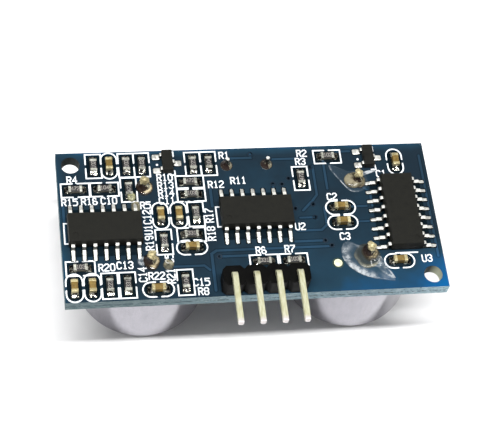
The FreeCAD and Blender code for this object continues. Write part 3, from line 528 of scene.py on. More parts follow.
FINISHES = {
    # CAD nodes whose finish is a variant of their slot's
    "resistor_end_caps": "bright_tin", "capacitor_end_caps": "cream_tin",
    "surface_lands": "painted_dark_land", "via_barrels": "tented_via",
}
EDGE_RADII = {
    # radius in millimetres: CAD nodes whose sharp edges are softened by it
    0.08: ["header_block"],
    0.06: ["receiver_amplifier_body", "controller_body", "transmitter_driver_body",
           "crystal_base"],
    0.05: ["transistor_bodies", "capacitor_end_caps", "header_pin_1", "header_pin_2",
           "header_pin_3", "header_pin_4"],
    0.04: ["resistor_end_caps", "capacitor_bodies"],
    0.03: ["receiver_amplifier_leads", "controller_leads", "transmitter_driver_leads",
           "resistor_coats"],
    0.02: ["transistor_leads", "resistor_cores"],
}


def dress_frame():
    """Give every CAD node its material, and soften what is sharp."""
    for entry in frame["record"]["subparts"]:
        node = frame["nodes"][entry["node"]]
        finish = FINISHES.get(entry["node"], entry["material_slot"])
        node.data.materials.clear()
        node.data.materials.append(MATERIALS[finish])
    for radius, names in EDGE_RADII.items():
        for name in names:
            node = frame["nodes"][name]
            weld = node.modifiers.new("weld", "WELD")
            weld.merge_threshold = 1e-7
            bevel = node.modifiers.new("edges", "BEVEL")
            bevel.width = radius * MM
            bevel.segments = 2
            bevel.limit_method = "ANGLE"
            bevel.angle_limit = math.radians(35)
            bevel.use_clamp_overlap = True


# ------------------------------------------------------------------ mesh helpers

def new_piece(name, verts, faces, material, slot="board", smooth=False):
    """A piece of the object from vertices in millimetres, riding on the root body."""
    mesh = bpy.data.meshes.new(name)
    mesh.from_pydata([Vector(vert) * MM for vert in verts], [], faces)
    mesh.polygons.foreach_set("use_smooth", [smooth] * len(mesh.polygons))
    mesh.materials.append(material)
    mesh.update()
    piece = bpy.data.objects.new(name, mesh)
    bpy.context.scene.collection.objects.link(piece)
    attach(piece, ROOT)
    return piece


def circle(x, y, radius, steps):
    """Points round a circle, anticlockwise from its right."""
    angles = [math.tau * step / steps for step in range(steps)]
    return [(x + radius * math.cos(angle), y + radius * math.sin(angle))
            for angle in angles]


INK_THICKNESS = 0.035
OUTLINE_STROKE = 0.17


class Slab:
    """Flat shapes lying on a face of the board, gathered into one mesh of closed solids.

    Each shape is a hair thicker than the one before it, so that no two tops coincide
    where shapes overlap.
    """

    SUNK = 0.005
    HAIR = 0.05

    def __init__(self, face, outward, thickness):
        self.face = face
        self.outward = outward
        self.thickness = thickness
        self.shapes = 0
        self.verts = []
        self.faces = []

    def add(self, points, tiles):
        """Add one solid: a layer of tiles over 2-D points, each tile anticlockwise."""
        first = len(self.verts)
        count = len(points)
        self.shapes += 1
        lift = self.thickness * (1 + self.HAIR * (self.shapes % 8))
        low, high = sorted((self.face - self.SUNK * self.outward,
                            self.face + lift * self.outward))
        self.verts += [(x, y, low) for x, y in points]
        self.verts += [(x, y, high) for x, y in points]
        edges = set()
        for tile in tiles:
            self.faces.append([first + count + index for index in tile])
            self.faces.append([first + index for index in reversed(tile)])
            edges |= {(a, b) for a, b in zip(tile, tile[1:] + tile[:1])}
        for a, b in sorted(edges):
            if (b, a) not in edges:
                self.faces.append([first + a, first + b,
                                   first + count + b, first + count + a])

    def ribbon(self, path, width=OUTLINE_STROKE, closed=False):
        """A line of even width along a path, with mitred corners and round ends."""
        half = width / 2
        path = [Vector(point) for point in path]
        count = len(path)
        runs = [(path[(index + 1) % count] - path[index]).normalized()
                for index in range(count if closed else count - 1)]
        points = []
        for index, point in enumerate(path):
            into = runs[index - 1] if index or closed else runs[0]
            out = runs[index] if index < len(runs) else into
            along = (into + out).normalized() if (into + out).length > 1e-6 else out
            stretch = min(1 / max(along.dot(out), 0.35), 2.0)
            across = Vector((-along.y, along.x)) * half * stretch
            points += [point - across, point + across]
        tiles = []
        for index in range(len(runs)):
            start = 2 * index
            end = 2 * ((index + 1) % count)
            tiles.append([start, end, end + 1, start + 1])
        if not closed:
            last = 2 * count - 1
            for end, outward, right, left in ((path[0], -runs[0], 1, 0),
                                              (path[-1], runs[-1], last - 1, last)):
                across = Vector((-outward.y, outward.x))
                fan = []
                for step in range(1, 5):
                    angle = math.pi * step / 5
                    fan.append(len(points))
                    points.append(end + half * (outward * math.sin(angle)
                                                - across * math.cos(angle)))
                tiles.append([right, *fan, left])
        self.add(points, tiles)

    def disc(self, x, y, radius, steps=24):
        self.add(circle(x, y, radius, steps), [list(range(steps))])

    def piece(self, name, material, **options):
        return new_piece(name, self.verts, self.faces, material, **options)


class Rings:
    """Smooth closed solids, each skinned over a stack of rings and capped at its ends."""

    def __init__(self):
        self.verts = []
        self.faces = []

    def add(self, rings):
        """Rings run from the lowest to the highest, each anticlockwise from above."""
        first = len(self.verts)
        steps = len(rings[0])
        for ring in rings:
            self.verts += ring
        for level in range(len(rings) - 1):
            for step in range(steps):
                a = first + level * steps + step
                b = first + level * steps + (step + 1) % steps
                self.faces.append([a, b, b + steps, a + steps])
        self.faces.append([first + step for step in reversed(range(steps))])
        last = first + (len(rings) - 1) * steps
        self.faces.append([last + step for step in range(steps)])

    def grow(self, levels, steps, place):
        """Add one solid from a rule: place gives the point at a share up and an angle."""
        self.add([[place(level / levels, math.tau * step / steps) for step in range(steps)]
                  for level in range(levels + 1)])

    def piece(self, name, material, slot="solder", replaces=None):
        """One piece of all the solids, shown in place of a CAD node if one is named."""
        piece = new_piece(name, self.verts, self.faces, material, slot, smooth=True)
        if replaces:
            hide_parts(replaces)
        return piece


# ------------------------------------------------------------------ solder

def wobble(x, y, seed, grain):
    """Seeded smooth noise of about -1 to 1 over the board."""
    return noise.noise(Vector((x / grain, y / grain, seed)))


def reach_outside(x, y, low, high):
    """How far a point lies outside an upright rectangle."""
    return math.hypot(max(low.x - x, 0, x - high.x), max(low.y - y, 0, y - high.y))


def squared(part, squareness=5.0):
    """A cosine or sine pushed outwards, so that it draws a rounded square."""
    return math.copysign(abs(part) ** (2 / squareness), part)


def add_fillet(mesh, land, foot, rise, draw, cover):
    """Solder over one land, climbing to rise against the foot that stands on it.

    Concentric squared rings cover the land's length and the share cover of its width;
    their height falls away from the foot within draw, and rolls over to nothing at
    the rim.
    """
    film, sunk = 0.035, 0.012
    low, high = land
    centre = (low + high) / 2
    half = (high - low) / 2
    if half.x < half.y:
        half.x *= cover
    else:
        half.y *= cover

    def place(inwards, angle):
        size = 1 - inwards ** 1.6 * 0.97
        edge = math.sqrt(max(0.0, 1 - size ** 10))
        cosine, sine = math.cos(angle), math.sin(angle)
        spill = 0.98 + 0.5 * (1 - cover) * wobble(
            centre.x + 3 * cosine, centre.y + 3 * sine, 4.5, 0.5)
        x = centre.x + half.x * size * squared(cosine) * spill
        y = centre.y + half.y * size * squared(sine) * spill
        gap = reach_outside(x, y, *foot)
        height = film + (rise - film) * math.exp(-((gap / draw) ** 0.9))
        height *= 1 + 0.30 * wobble(x, y, 1.5, 0.22)
        return x, y, LAND_TOP + height * edge - (0 if inwards else sunk)

    mesh.grow(10, 36, place)


def solder_small_parts():
    """Fillets at every land of the component side."""
    foot_height = 0.45
    rng = random.Random(11)
    by_chips, by_leads = Rings(), Rings()
    feet = []
    for node, mesh, rise, draw, cover in (
            ("resistor_end_caps", by_chips, 0.30, 0.20, 1.0),
            ("capacitor_end_caps", by_chips, 0.42, 0.20, 1.0),
            ("receiver_amplifier_leads", by_leads, 0.17, 0.22, 0.68),
            ("controller_leads", by_leads, 0.17, 0.22, 0.68),
            ("transmitter_driver_leads", by_leads, 0.17, 0.22, 0.64),
            ("transistor_leads", by_leads, 0.13, 0.25, 0.90)):
        for foot in solids(node, below=LAND_TOP + foot_height):
            feet.append((foot, mesh, rise, draw, cover))
    for land in solids("surface_lands"):
        centre = middle_of(land)
        near = min(feet, key=lambda entry: reach_outside(centre.x, centre.y, *entry[0]))
        foot, mesh, rise, draw, cover = near
        add_fillet(mesh, land, foot, rise * rng.uniform(0.75, 1.05),
                   draw * rng.uniform(0.7, 1.3), cover)
    by_chips.piece("chip_solder_fillets", MATERIALS["chip_solder"],
                   replaces="surface_solder")
    by_leads.piece("lead_solder_fillets", MATERIALS["lead_solder"])


def add_joint(mesh, x, y, base, up, foot, waist, rise, seed, lean=0.0):
    """A hand-made or wave-made joint round a pin: a cone with a hollow flank.

    It is foot wide at the board and waist wide at its end, both as radii; up is 1 on
    the upper face and -1 on the lower one.
    """
    hollow, lumpiness, raggedness = 2.4, 0.64, 0.18

    def place(part, turn):
        angle = turn * up
        cosine, sine = math.cos(angle), math.sin(angle)
        lumps = lumpiness * wobble(cosine, sine, seed, 0.8) + lean * math.cos(angle - seed)
        radius = waist + (foot - waist) * (1 - part) ** hollow
        radius *= 1 + lumps * part * (1 - part)
        height = rise * part * (1 + raggedness * part * wobble(
            cosine, sine, seed + 7.7, 1.1))
        return x + radius * cosine, y + radius * sine, base + up * height

    mesh.grow(14, 40, place)


def tin_pin(mesh, centre, tip):
    """A ragged lump of cold solder left on the end of a pin, narrower at its top."""
    half_drop, reach, above_tip, taper = 0.475, 0.47, 0.08, 0.22

    def place(part, turn):
        angle = math.pi * (part - 0.5) * 0.98
        rise = math.sin(angle)
        x, y = math.cos(turn), math.sin(turn)
        lump = 1 + 0.70 * wobble(x + 1.6 * rise, y + 0.8 * rise, centre.x + centre.y, 0.62)
        radius = reach * lump * math.cos(angle) * (1 - taper * rise)
        return (centre.x + radius * x, centre.y + radius * y,
                tip + above_tip + half_drop * (rise - 1))

    mesh.grow(16, 32, place)


def solder_pins():
    """Joints round the pins of the transducers, the crystal and the header."""
    annulus = 0.03
    joints, tinning = Rings(), Rings()
    rise = box_mm("transducer_solder")[1].z - TOP - annulus
    for side in SIDES:
        for low, high in solids(f"{side}_pins"):
            centre = (low + high) / 2
            add_joint(joints, centre.x, centre.y, TOP + annulus, 1, 0.95, 0.35, rise,
                      centre.x + centre.y, lean=0.6)
            tin_pin(tinning, centre, high.z)
    joints.piece("transducer_joints", STAINED, replaces="transducer_solder")
    tinning.piece("transducer_pin_tinning", MATERIALS["transducer_pin"])

    joints = Rings()
    rise = box_mm("crystal_solder")[1].z - TOP - annulus
    for lead in solids("crystal_leads"):
        centre = middle_of(lead)
        add_joint(joints, centre.x, centre.y, TOP + annulus, 1, 0.7, 0.22, rise, centre.x)
    joints.piece("crystal_joints", STAINED, replaces="crystal_solder")

    joints = Rings()
    rise = BOTTOM - annulus - box_mm("header_solder")[0].z
    for _, x, y in header_feet():
        add_joint(joints, x, y, BOTTOM - annulus, -1, 0.86, 0.40, rise, x)
    joints.piece("header_joints", MATERIALS["solder"], replaces="header_solder")


def fill_test_point():
    """A low gilt dome that closes the hole of the test point."""
    reach, rise, sunk = 0.36, 0.07, 0.02
    low, high = box_mm("test_point")
    centre = (low + high) / 2

    def place(part, turn):
        tilt = math.radians(75) * part
        radius = reach * math.cos(tilt)
        height = rise * math.sin(tilt) - (0 if part else sunk)
        return (centre.x + radius * math.cos(turn), centre.y + radius * math.sin(turn),
                high.z + height)

    mesh = Rings()
    mesh.grow(5, 24, place)
    mesh.piece("test_point_dome", MATERIALS["gold_plate"], slot="gold_plate")


# ------------------------------------------------------------------ flux residue

def smooth_loop(points, parts=6):
    """A closed Catmull-Rom curve through points."""
    points = [Vector(point) for point in points]
    count = len(points)
    curve = []
    for index in range(count):
        a, b, c, d = (points[(index + shift) % count] for shift in (-1, 0, 1, 2))
        for step in range(parts):
            t = step / parts
            curve.append(0.5 * (2 * b + (c - a) * t + (2 * a - 5 * b + 4 * c - d) * t * t
                                + (3 * b - a - 3 * c + d) * t ** 3))
    return curve


def puddle(name, outline, middle, thickness, frost_and_glint_side, material, band, haze):
    """A dried drop of flux inside an outline.

    It is thickest near its middle. A point attribute of milkiness is haze all along a band
    near the rim, and full on the side that a given direction in degrees points to; band is
    the place and the width of that band, as shares of the way out to the rim. It is real
    milky residue on most puddles and a painted highlight on the burnt collars.
    """
    levels, sunk = 16, 0.01
    rim = smooth_loop(outline)
    middle = Vector(middle)
    frost_and_glint_side = math.radians(frost_and_glint_side)
    facing = Vector((math.cos(frost_and_glint_side), math.sin(frost_and_glint_side)))
    rings = []
    frost_and_glint = []
    for level in range(levels + 1):
        size = 1 - (level / levels) ** 1.4 * 0.96
        milk_and_glint = math.exp(-(((size - band[0]) / band[1]) ** 2))
        ring = []
        for point in rim:
            x, y = middle + (point - middle) * size
            height = thickness * math.sqrt(max(0.0, 1 - size ** 6))
            height *= 1 + 0.25 * wobble(x, y, thickness * 40, 0.7)
            ring.append((x, y, TOP + height + (0.0 if level else -sunk)))
            side = (point - middle).normalized().dot(facing)
            frost_and_glint.append(milk_and_glint * (haze + (1 - haze) * max(0.0, side)))
        rings.append(ring)
    mesh = Rings()
    mesh.add(rings)
    piece = mesh.piece(name, material)
    attribute = piece.data.attributes.new("frost_and_glint", "FLOAT", "POINT")
    attribute.data.foreach_set("value", frost_and_glint)


def round_outline(centre, reach, squash, seed):
    """An uneven round outline about a point, squash times as wide as it is deep."""
    rim = []
    for x, y in circle(0, 0, 1, 14):
        radius = reach * (1 + 0.14 * wobble(x, y, seed, 0.7))
        rim.append((centre[0] + radius * squash * x, centre[1] + radius * y))
    return rim


def burnt_collars():
    """Brown glassy collars of flux round every hand-soldered pin, each with a painted beige
    highlight on its right side.
    """
    for side in SIDES:
        for number, pin in enumerate(solids(f"{side}_pins"), 1):
            x, y, _ = middle_of(pin)
            # Painted highlight: the milk colour is laid on the side facing -20 degrees, to
            # the right
            puddle(f"{side}_collar_{number}",
                   round_outline((x + 0.08, y - 0.12), 1.10, 0.88, x + y), (x, y),
                   0.26, -20, BURNT_FLUX_WITH_GLINT, (0.66, 0.20), 0.05)


LOWER, UPPER = 0, 1


def from_pin(side, pin, *steps):
    """Points given from the outer edge of a transducer's lower or upper pin."""
    corners = box_mm(f"{side}_pins")
    x = middle_of(corners).x
    return [(x + across, corners[pin].y + away) for across, away in steps]


def spill(name, side, pin, outline, middle, *look):
    """A puddle inside an outline given from a pin."""
    *outline, middle = from_pin(side, pin, *outline, middle)
    puddle(name, outline, middle, *look)


def stain(name, side, pin, centre, reach, squash, seed, *look, middle=None):
    """A round puddle about a centre given from a pin."""
    centre, middle = from_pin(side, pin, centre, middle or centre)
    puddle(name, round_outline(centre, reach, squash, seed), middle, *look)


def spill_flux():
    """Residue left round the hand-soldered transducer pins.

    The transmitter's two pins carry wide clear puddles with milky rims, and small
    stains lie round the receiver's.
    """
    spill("flux_lower_right", "transmitter", LOWER,
          [(-2.9, 1.7), (-3.35, 0.7), (-3.2, -0.6), (-2.4, -1.8), (-1.1, -2.75),
           (0.4, -3.3), (1.7, -3.55), (2.6, -3.6), (2.1, -2.8), (1.5, -1.6), (1.3, -0.3),
           (0.8, 0.7), (-0.3, 1.1), (-1.4, 1.45), (-2.2, 1.9)],
          (-0.5, -0.5), 0.16, 215, FLUX, (0.86, 0.20), 0.30)
    spill("flux_lower_right_smear", "transmitter", LOWER,
          [(0.6, -1.2), (1.0, -2.2), (1.9, -3.0), (2.6, -3.3), (2.4, -2.6), (1.8, -1.6),
           (1.4, -1.0)],
          (1.6, -2.1), 0.05, 300, FLUX, (0.75, 0.30), 0.35)
    spill("flux_upper_right_rim", "transmitter", UPPER,
          [(-3.2, 1.9), (-3.05, 1.1), (-2.45, 0.1), (-1.75, -1.0), (-1.1, -1.85),
           (-0.3, -2.1), (0.7, -1.8), (1.3, -0.9), (1.2, 0.2), (0.4, 0.9), (-0.8, 0.9),
           (-1.9, 1.4), (-2.7, 1.8)],
          (-0.6, -0.3), 0.10, 208, FLUX, (0.95, 0.05), 0.10)
    stain("flux_upper_right", "transmitter", UPPER, (-0.35, -0.45), 1.15, 1.12, 4.0,
          0.40, 200, DOME_FLUX, (0.55, 0.50), 0.45, middle=(-0.1, -0.2))
    stain("flux_lower_right_stain", "transmitter", LOWER, (-0.25, -0.15), 1.60, 1.05, 6.0,
          0.18, 250, AMBER_FLUX, (0.90, 0.10), 0.04, middle=(-0.1, 0.0))
    drops = (((1.0, -0.55), 0.34), ((1.45, -1.05), 0.30), ((0.75, -1.35), 0.38),
             ((1.75, -1.75), 0.26))
    for number, (centre, reach) in enumerate(drops, 1):
        stain(f"flux_drop_{number}", "transmitter", LOWER, centre, reach, 1.3, number,
              0.10, 60, FLUX, (0.70, 0.25), 0.5)
    spill("flux_upper_right_smear", "transmitter", UPPER,
          [(0.4, -0.1), (1.2, 0.3), (2.2, 0.65), (2.5, 0.9), (1.7, 0.95), (0.9, 0.7),
           (0.3, 0.4)],
          (1.2, 0.5), 0.08, 20, FLUX, (0.55, 0.60), 0.6)
    for name, pin, centre, reach, squash, thickness, material in (
            ("flux_lower_left", LOWER, (2.0, -0.25), 0.75, 0.85, 0.10, AMBER_FLUX),
            ("flux_lower_left_specks", LOWER, (-1.05, 0.35), 0.62, 0.80, 0.08, FLUX),
            ("flux_upper_left_cake", UPPER, (-1.55, -1.75), 0.62, 0.82, 0.46, OLIVE_FLUX),
            ("flux_upper_left_smear", UPPER, (-1.15, -3.05), 0.80, 0.70, 0.08,
             AMBER_FLUX)):
        stain(name, "receiver", pin, centre, reach, squash, centre[0], thickness, 70,
              material, (0.6, 0.5), 0.6)


# ------------------------------------------------------------------ silkscreen

# Strokes of a drafting font on a grid 4 wide and 6 high: each pair of digits is a point.
GLYPHS = {
    "0": ["10 30 41 45 36 16 05 01 10"], "1": ["15 26 20", "10 30"],
    "2": ["05 16 36 45 44 01 00 40"], "3": ["05 16 36 45 44 33 23", "33 42 41 30 10 01"],
    "4": ["30 36 02 42"], "5": ["46 06 04 34 43 41 30 00"],
    "6": ["35 26 16 05 01 10 30 41 42 33 03"], "7": ["06 46 45 12 10"],
    "8": ["13 04 05 16 36 45 44 33 13 02 01 10 30 41 42 33"],
    "9": ["11 20 30 41 45 36 16 05 04 13 43"],
    "R": ["00 06 36 45 44 33 03", "23 40"], "C": ["45 36 16 05 01 10 30 41"],
    "U": ["06 01 10 30 41 46"], "T": ["06 46", "26 20"], "X": ["00 46", "06 40"],
}


def lettering(slab, text, x, y, turn=0, height=0.88, flip=False):
    """Draw text centred on a point, turned in degrees; flip is for the lower face."""
    up = height / 6
    across = up * 0.8
    pitch = height * 0.76
    stroke = height * 0.165
    turned = Matrix.Rotation(math.radians(turn), 2)
    start = -(len(text) - 1) * pitch / 2
    for index, letter in enumerate(text):
        for path in GLYPHS[letter]:
            points = []
            for pair in path.split():
                local = Vector((start + index * pitch + (int(pair[0]) - 2) * across,
                                (int(pair[1]) - 3) * up))
                if flip:
                    local.x = -local.x
                points.append(Vector((x, y)) + turned @ local)
            closed = points[0] == points[-1]
            slab.ribbon(points[:-1] if closed else points, stroke, closed)


def chip_outline(slab, centre, along_x, half_length, half_width, rounded):
    """Two facing brackets round a two-ended chip, square or round at their ends."""
    gap = 0.6
    for side in (-1, 1):
        path = [(side * gap / 2, -half_width)]
        if rounded:
            middle = half_length - half_width
            for step in range(13):
                angle = math.radians(-90 + 15 * step)
                path.append((side * (middle + half_width * math.cos(angle)),
                             half_width * math.sin(angle)))
        else:
            path += [(side * half_length, -half_width), (side * half_length, half_width)]
        path.append((side * gap / 2, half_width))
        if not along_x:
            path = [(-v, u) for u, v in path]
        slab.ribbon([(centre.x + u, centre.y + v) for u, v in path])


LABELS = [
    # text, x, y, turn
    ("R1", -2.3, 9.05, 0), ("R2", 7.25, 9.0, 0), ("R3", 6.95, 7.85, 0),
    ("R4", -20.75, 6.25, 0), ("R5", -12.35, 2.45, 0), ("R6", 0.65, -4.2, 0),
    ("R7", 4.1, -4.15, 0), ("R8", -6.65, -9.25, 0),
    ("R10", -9.75, 6.2, 0), ("R11", -0.95, 5.45, 0), ("R12", -3.7, 5.0, 0),
    ("R13", -9.75, 5.1, 0), ("R14", -9.75, 4.05, 0), ("R15", -21.2, 3.2, 0),
    ("R16", -18.9, 3.25, 0), ("R17", -4.95, 0.75, 90), ("R18", -4.95, -1.7, 90),
    ("R19", -12.3, -2.65, 90), ("R20", -17.5, -5.65, 0), ("R21", -10.2, -7.1, 90),
    ("R22", -11.85, -7.0, 0),
    ("C1", 16.7, 5.75, 0), ("C2", 10.15, 2.75, 0), ("C3", 10.95, -2.75, 0),
    ("C4", 14.15, -6.45, 0), ("C5", -10.2, -4.8, 90), ("C10", -16.6, 3.25, 0),
    ("C11", -9.75, 3.0, 0), ("C12", -12.3, 0.85, 90), ("C13", -15.4, -5.45, 0),
    ("C14", -13.45, -6.75, 90), ("C15", -6.75, -8.05, 0),
    ("U1", -12.3, -0.88, 90), ("U2", 5.75, -1.2, 0), ("U3", 20.4, -6.15, 0),
]


def print_component_side():
    """Brackets round the parts, a mark at each package's end, and the labels."""
    half_bracket = 1.35
    ink = Slab(TOP, 1, INK_THICKNESS)
    for centre, along_x in chips("resistor_coats"):
        chip_outline(ink, centre, along_x, 1.66, 0.93, rounded=False)
    for centre, along_x in chips("capacitor_bodies"):
        chip_outline(ink, centre, along_x, 1.8, 0.95, rounded=True)
    for name in ("receiver_amplifier_body", "controller_body"):
        low, high = box_mm(name)
        y = middle_of((low, high)).y
        ink.ribbon([(low.x + out, y + half_bracket * side)
                    for out, side in ((0.05, 1), (-0.35, 1), (-0.35, -1), (0.05, -1))])
    low, high = box_mm("transmitter_driver_body")
    x = middle_of((low, high)).x
    ink.ribbon([(x - 1.4, low.y - 0.3), (x + 1.3, low.y - 0.3)])
    for low, high in solids("transistor_bodies"):
        for y, side in ((high.y, 1), (low.y, -1)):
            ink.ribbon([(high.x - 0.35, y + 0.16 * side), (high.x + 0.2, y + 0.16 * side),
                        (high.x + 0.2, y - 0.45 * side)])
        ink.disc(low.x - 0.55, middle_of((low, high)).y - 0.1, 0.14)
    for label in LABELS:
        lettering(ink, *label)
    ink.piece("component_side_printing", INK)


def print_resistor_codes():
    """Three-digit values across the glaze of each resistor."""
    codes = ("103", "472", "102", "223", "104", "331")
    ink = Slab(box_mm("resistor_coats")[1].z, 1, 0.008)
    for number, (centre, along_x) in enumerate(chips("resistor_coats")):
        lettering(ink, codes[number % len(codes)], centre.x, centre.y,
                  0 if along_x else 90, 0.46)
    ink.piece("resistor_codes", CODE_INK, slot="resistor_glaze")


def print_transducer_side():
    """Outlines of the cans and the crystal, pin numbers, and T and R for the two cans."""
    clearance, half_square = 0.35, 1.1
    ink = Slab(BOTTOM, -1, INK_THICKNESS)
    for side, letter, outer in (("receiver", "R", -1), ("transmitter", "T", 1)):
        low, high = box_mm(f"{side}_can")
        centre = (low + high) / 2
        ink.ribbon(circle(centre.x, centre.y, (high.x - low.x) / 2 + clearance, 96),
                   closed=True)
        lettering(ink, letter, centre.x + outer * 7.4, outer * 7.9, height=1.6, flip=True)
    low, high = box_mm("crystal_can")
    middle = (low + high) / 2
    half = (high.y - low.y) / 2 + 0.25
    end = (high.x - low.x - high.y + low.y) / 2
    edge = board_high.y - 0.12
    path = []
    for side in (-1, 1):
        for step in range(13):
            angle = math.radians(180 - 90 * side - 15 * step)
            path.append((middle.x + side * end + half * math.cos(angle),
                         min(middle.y + half * math.sin(angle), edge)))
    ink.ribbon(path, closed=True)
    lettering(ink, "X1", middle.x, low.y - 1.3, height=1.0, flip=True)
    for number, x, y in header_feet():
        ink.ribbon([(x + u * half_square, y + v * half_square)
                    for u, v in ((-1, -1), (1, -1), (1, 1), (-1, 1))], closed=True)
        lettering(ink, str(number), x, y + 1.95, height=1.0, flip=True)
    ink.piece("transducer_side_printing", INK)


# ------------------------------------------------------------------ copper under the mask

TRACES = [
    # width, then the corners of the line
    (0.30, (8.35, 7.2), (8.35, 3.1), (7.7, 2.3)), (0.30, (9.75, 7.9), (9.75, 3.9)),
    (0.30, (6.4, 1.0), (7.5, 2.1)), (0.25, (5.9, 0.0), (7.5, 0.0)),
    (0.30, (5.4, -1.75), (8.3, -1.75), (9.0, -1.1), (9.0, 1.3)),
    (0.30, (4.9, -3.2), (8.2, -3.2)), (0.30, (-4.6, -4.0), (8.8, -4.0)),
    (0.30, (-4.1, -4.8), (-0.9, -4.8)), (0.35, (-5.2, -9.2), (-5.2, -4.4), (-4.6, -4.0)),
    (0.35, (-4.45, 5.0), (-4.45, 2.0)), (0.30, (21.85, 8.2), (21.85, -5.9)),
    (0.30, (-1.5, 8.6), (0.9, 8.6), (0.9, 9.1)), (0.30, (3.6, 8.3), (7.5, 8.3)),
    (0.30, (14.2, 3.9), (14.9, 3.2), (14.9, 1.3)), (0.25, (12.7, -0.8), (14.2, -0.8)),
    (0.30, (12.4, 1.3), (14.2, 1.3)), (0.25, (3.2, 4.6), (3.2, 3.3)),
    (0.30, (11.5, 9.1), (13.2, 9.1)), (0.30, (-22.0, 3.0), (-22.0, -2.2)),
    (0.25, (-7.55, 2.6), (-8.1, 2.6)), (0.30, (-9.7, -5.9), (-6.2, -5.9), (-5.6, -6.5)),
]
LOWER_TRACES = [
    (0.5, (-12.35, 5.0), (-9.5, 8.6), (-5.0, 8.6)), (0.4, (-12.35, -5.0), (-9.6, -8.9),
                                                    (-5.2, -8.9)),
    (0.5, (13.55, 5.0), (10.8, 8.8), (7.2, 8.8)), (0.4, (13.55, -5.0), (11.0, -8.6),
                                                  (6.2, -8.6)),
    (0.4, (-3.31, -8.65), (-3.31, 3.6), (-2.4, 4.4)), (0.4, (-0.77, -8.65), (-0.77, 3.9)),
    (0.4, (1.77, -8.65), (1.77, -3.0), (2.6, -2.2), (2.6, 4.4)),
    (0.6, (4.31, -8.65), (4.31, -4.0)),
    (0.35, (5.5, 1.3), (4.9, 0.7), (4.9, -1.8)), (0.35, (-7.55, 2.6), (-4.6, -0.4),
                                                  (-4.6, -4.6)),
]


def lay_copper(name, face, outward, traces):
    """Tracks that show through the mask, each between two darker gaps."""
    gap_width = 0.11
    gap = Slab(face, outward, 0.003)
    track = Slab(face, outward, 0.012)
    for width, *path in traces:
        gap.ribbon(path, width + 2 * gap_width)
        track.ribbon(path, width)
    gap.piece(name + "_gaps", GAP)
    track.piece(name + "_tracks", COPPER)


def lay_clearances():
    """Copper-free patches round the parts, darkened further by painted shade, and bare
    laminate in a ring.
    """
    half_length, half_width, margin = 1.55, 0.85, 0.1
    patches = Slab(TOP, 1, 0.004)

    def patch(x_low, x_high, y_low, y_high):
        patches.add([(x_low, y_low), (x_high, y_low), (x_high, y_high), (x_low, y_high)],
                    [[0, 1, 2, 3]])

    # Painted shade: darker patches under every chip and under every row of leads
    for node in ("resistor_coats", "capacitor_bodies"):
        for (x, y, _), along_x in chips(node):
            u, v = (half_length, half_width) if along_x else (half_width, half_length)
            patch(x - u, x + u, y - v, y + v)
    for name in ("receiver_amplifier", "controller", "transmitter_driver"):
        low, high = box_mm(name + "_leads")
        patch(low.x - margin, high.x + margin, low.y - margin, high.y + margin)
    patches.piece("component_side_clearances_and_shade", CLEARANCE_AND_SHADE)

    x, y, _ = middle_of(box_mm("test_point"))
    ring = Slab(TOP, 1, 0.006)
    ring.disc(x, y, 0.72)
    ring.piece("test_point_ring", MATERIALS["bare_laminate"])


# ------------------------------------------------------------------ transducer screens

WEAVE_PITCH = 0.55


def add_wire(mesh, centre, offset, half, along_x, first):
    """One wire of a screen; it passes over or under every wire that crosses it."""
    radius, bend = 0.075, 0.0675

    def place(part, turn):
        t = half * (2 * part - 1)
        sideways = offset + radius * math.cos(turn)
        x, y = (t, -sideways) if along_x else (sideways, t)
        dip = first * bend * math.cos(math.pi * t / WEAVE_PITCH)
        return centre.x + x, centre.y + y, centre.z + dip + radius * math.sin(turn)

    mesh.grow(round(8 * half / WEAVE_PITCH), 6, place)


def weave_screen(side):
    """Square woven wire behind the mouth of a can, in place of the plain CAD disc."""
    rim = 0.05
    low, high = box_mm(f"{side}_mesh")
    reach = (high.x - low.x) / 2 - rim
    count = int(reach / WEAVE_PITCH)
    mesh = Rings()
    for along_x in (True, False):
        for number in range(-count, count + 1):
            offset = number * WEAVE_PITCH
            half = math.sqrt(reach * reach - offset * offset)
            if half > WEAVE_PITCH:
                add_wire(mesh, (low + high) / 2, offset, half, along_x,
                         1 if (number % 2 == 0) == along_x else -1)
    mesh.piece(f"{side}_woven_screen", MATERIALS["mesh_wire"], "mesh_wire",
               replaces=f"{side}_mesh")


# ------------------------------------------------------------------ stage and camera

def under_can(paint, side):
    """1 where a point of the floor lies under a can, else 0."""
    rim_rounding = 1.1
    low, high = box_mm(f"{side}_can")
    x, y, _ = middle_of((low, high))
    away = paint.vector("DISTANCE", paint.point, (x, y, low.z)).outputs["Value"]
    return paint.maths("LESS_THAN", away, (high.x - low.x) / 2 - rim_rounding)


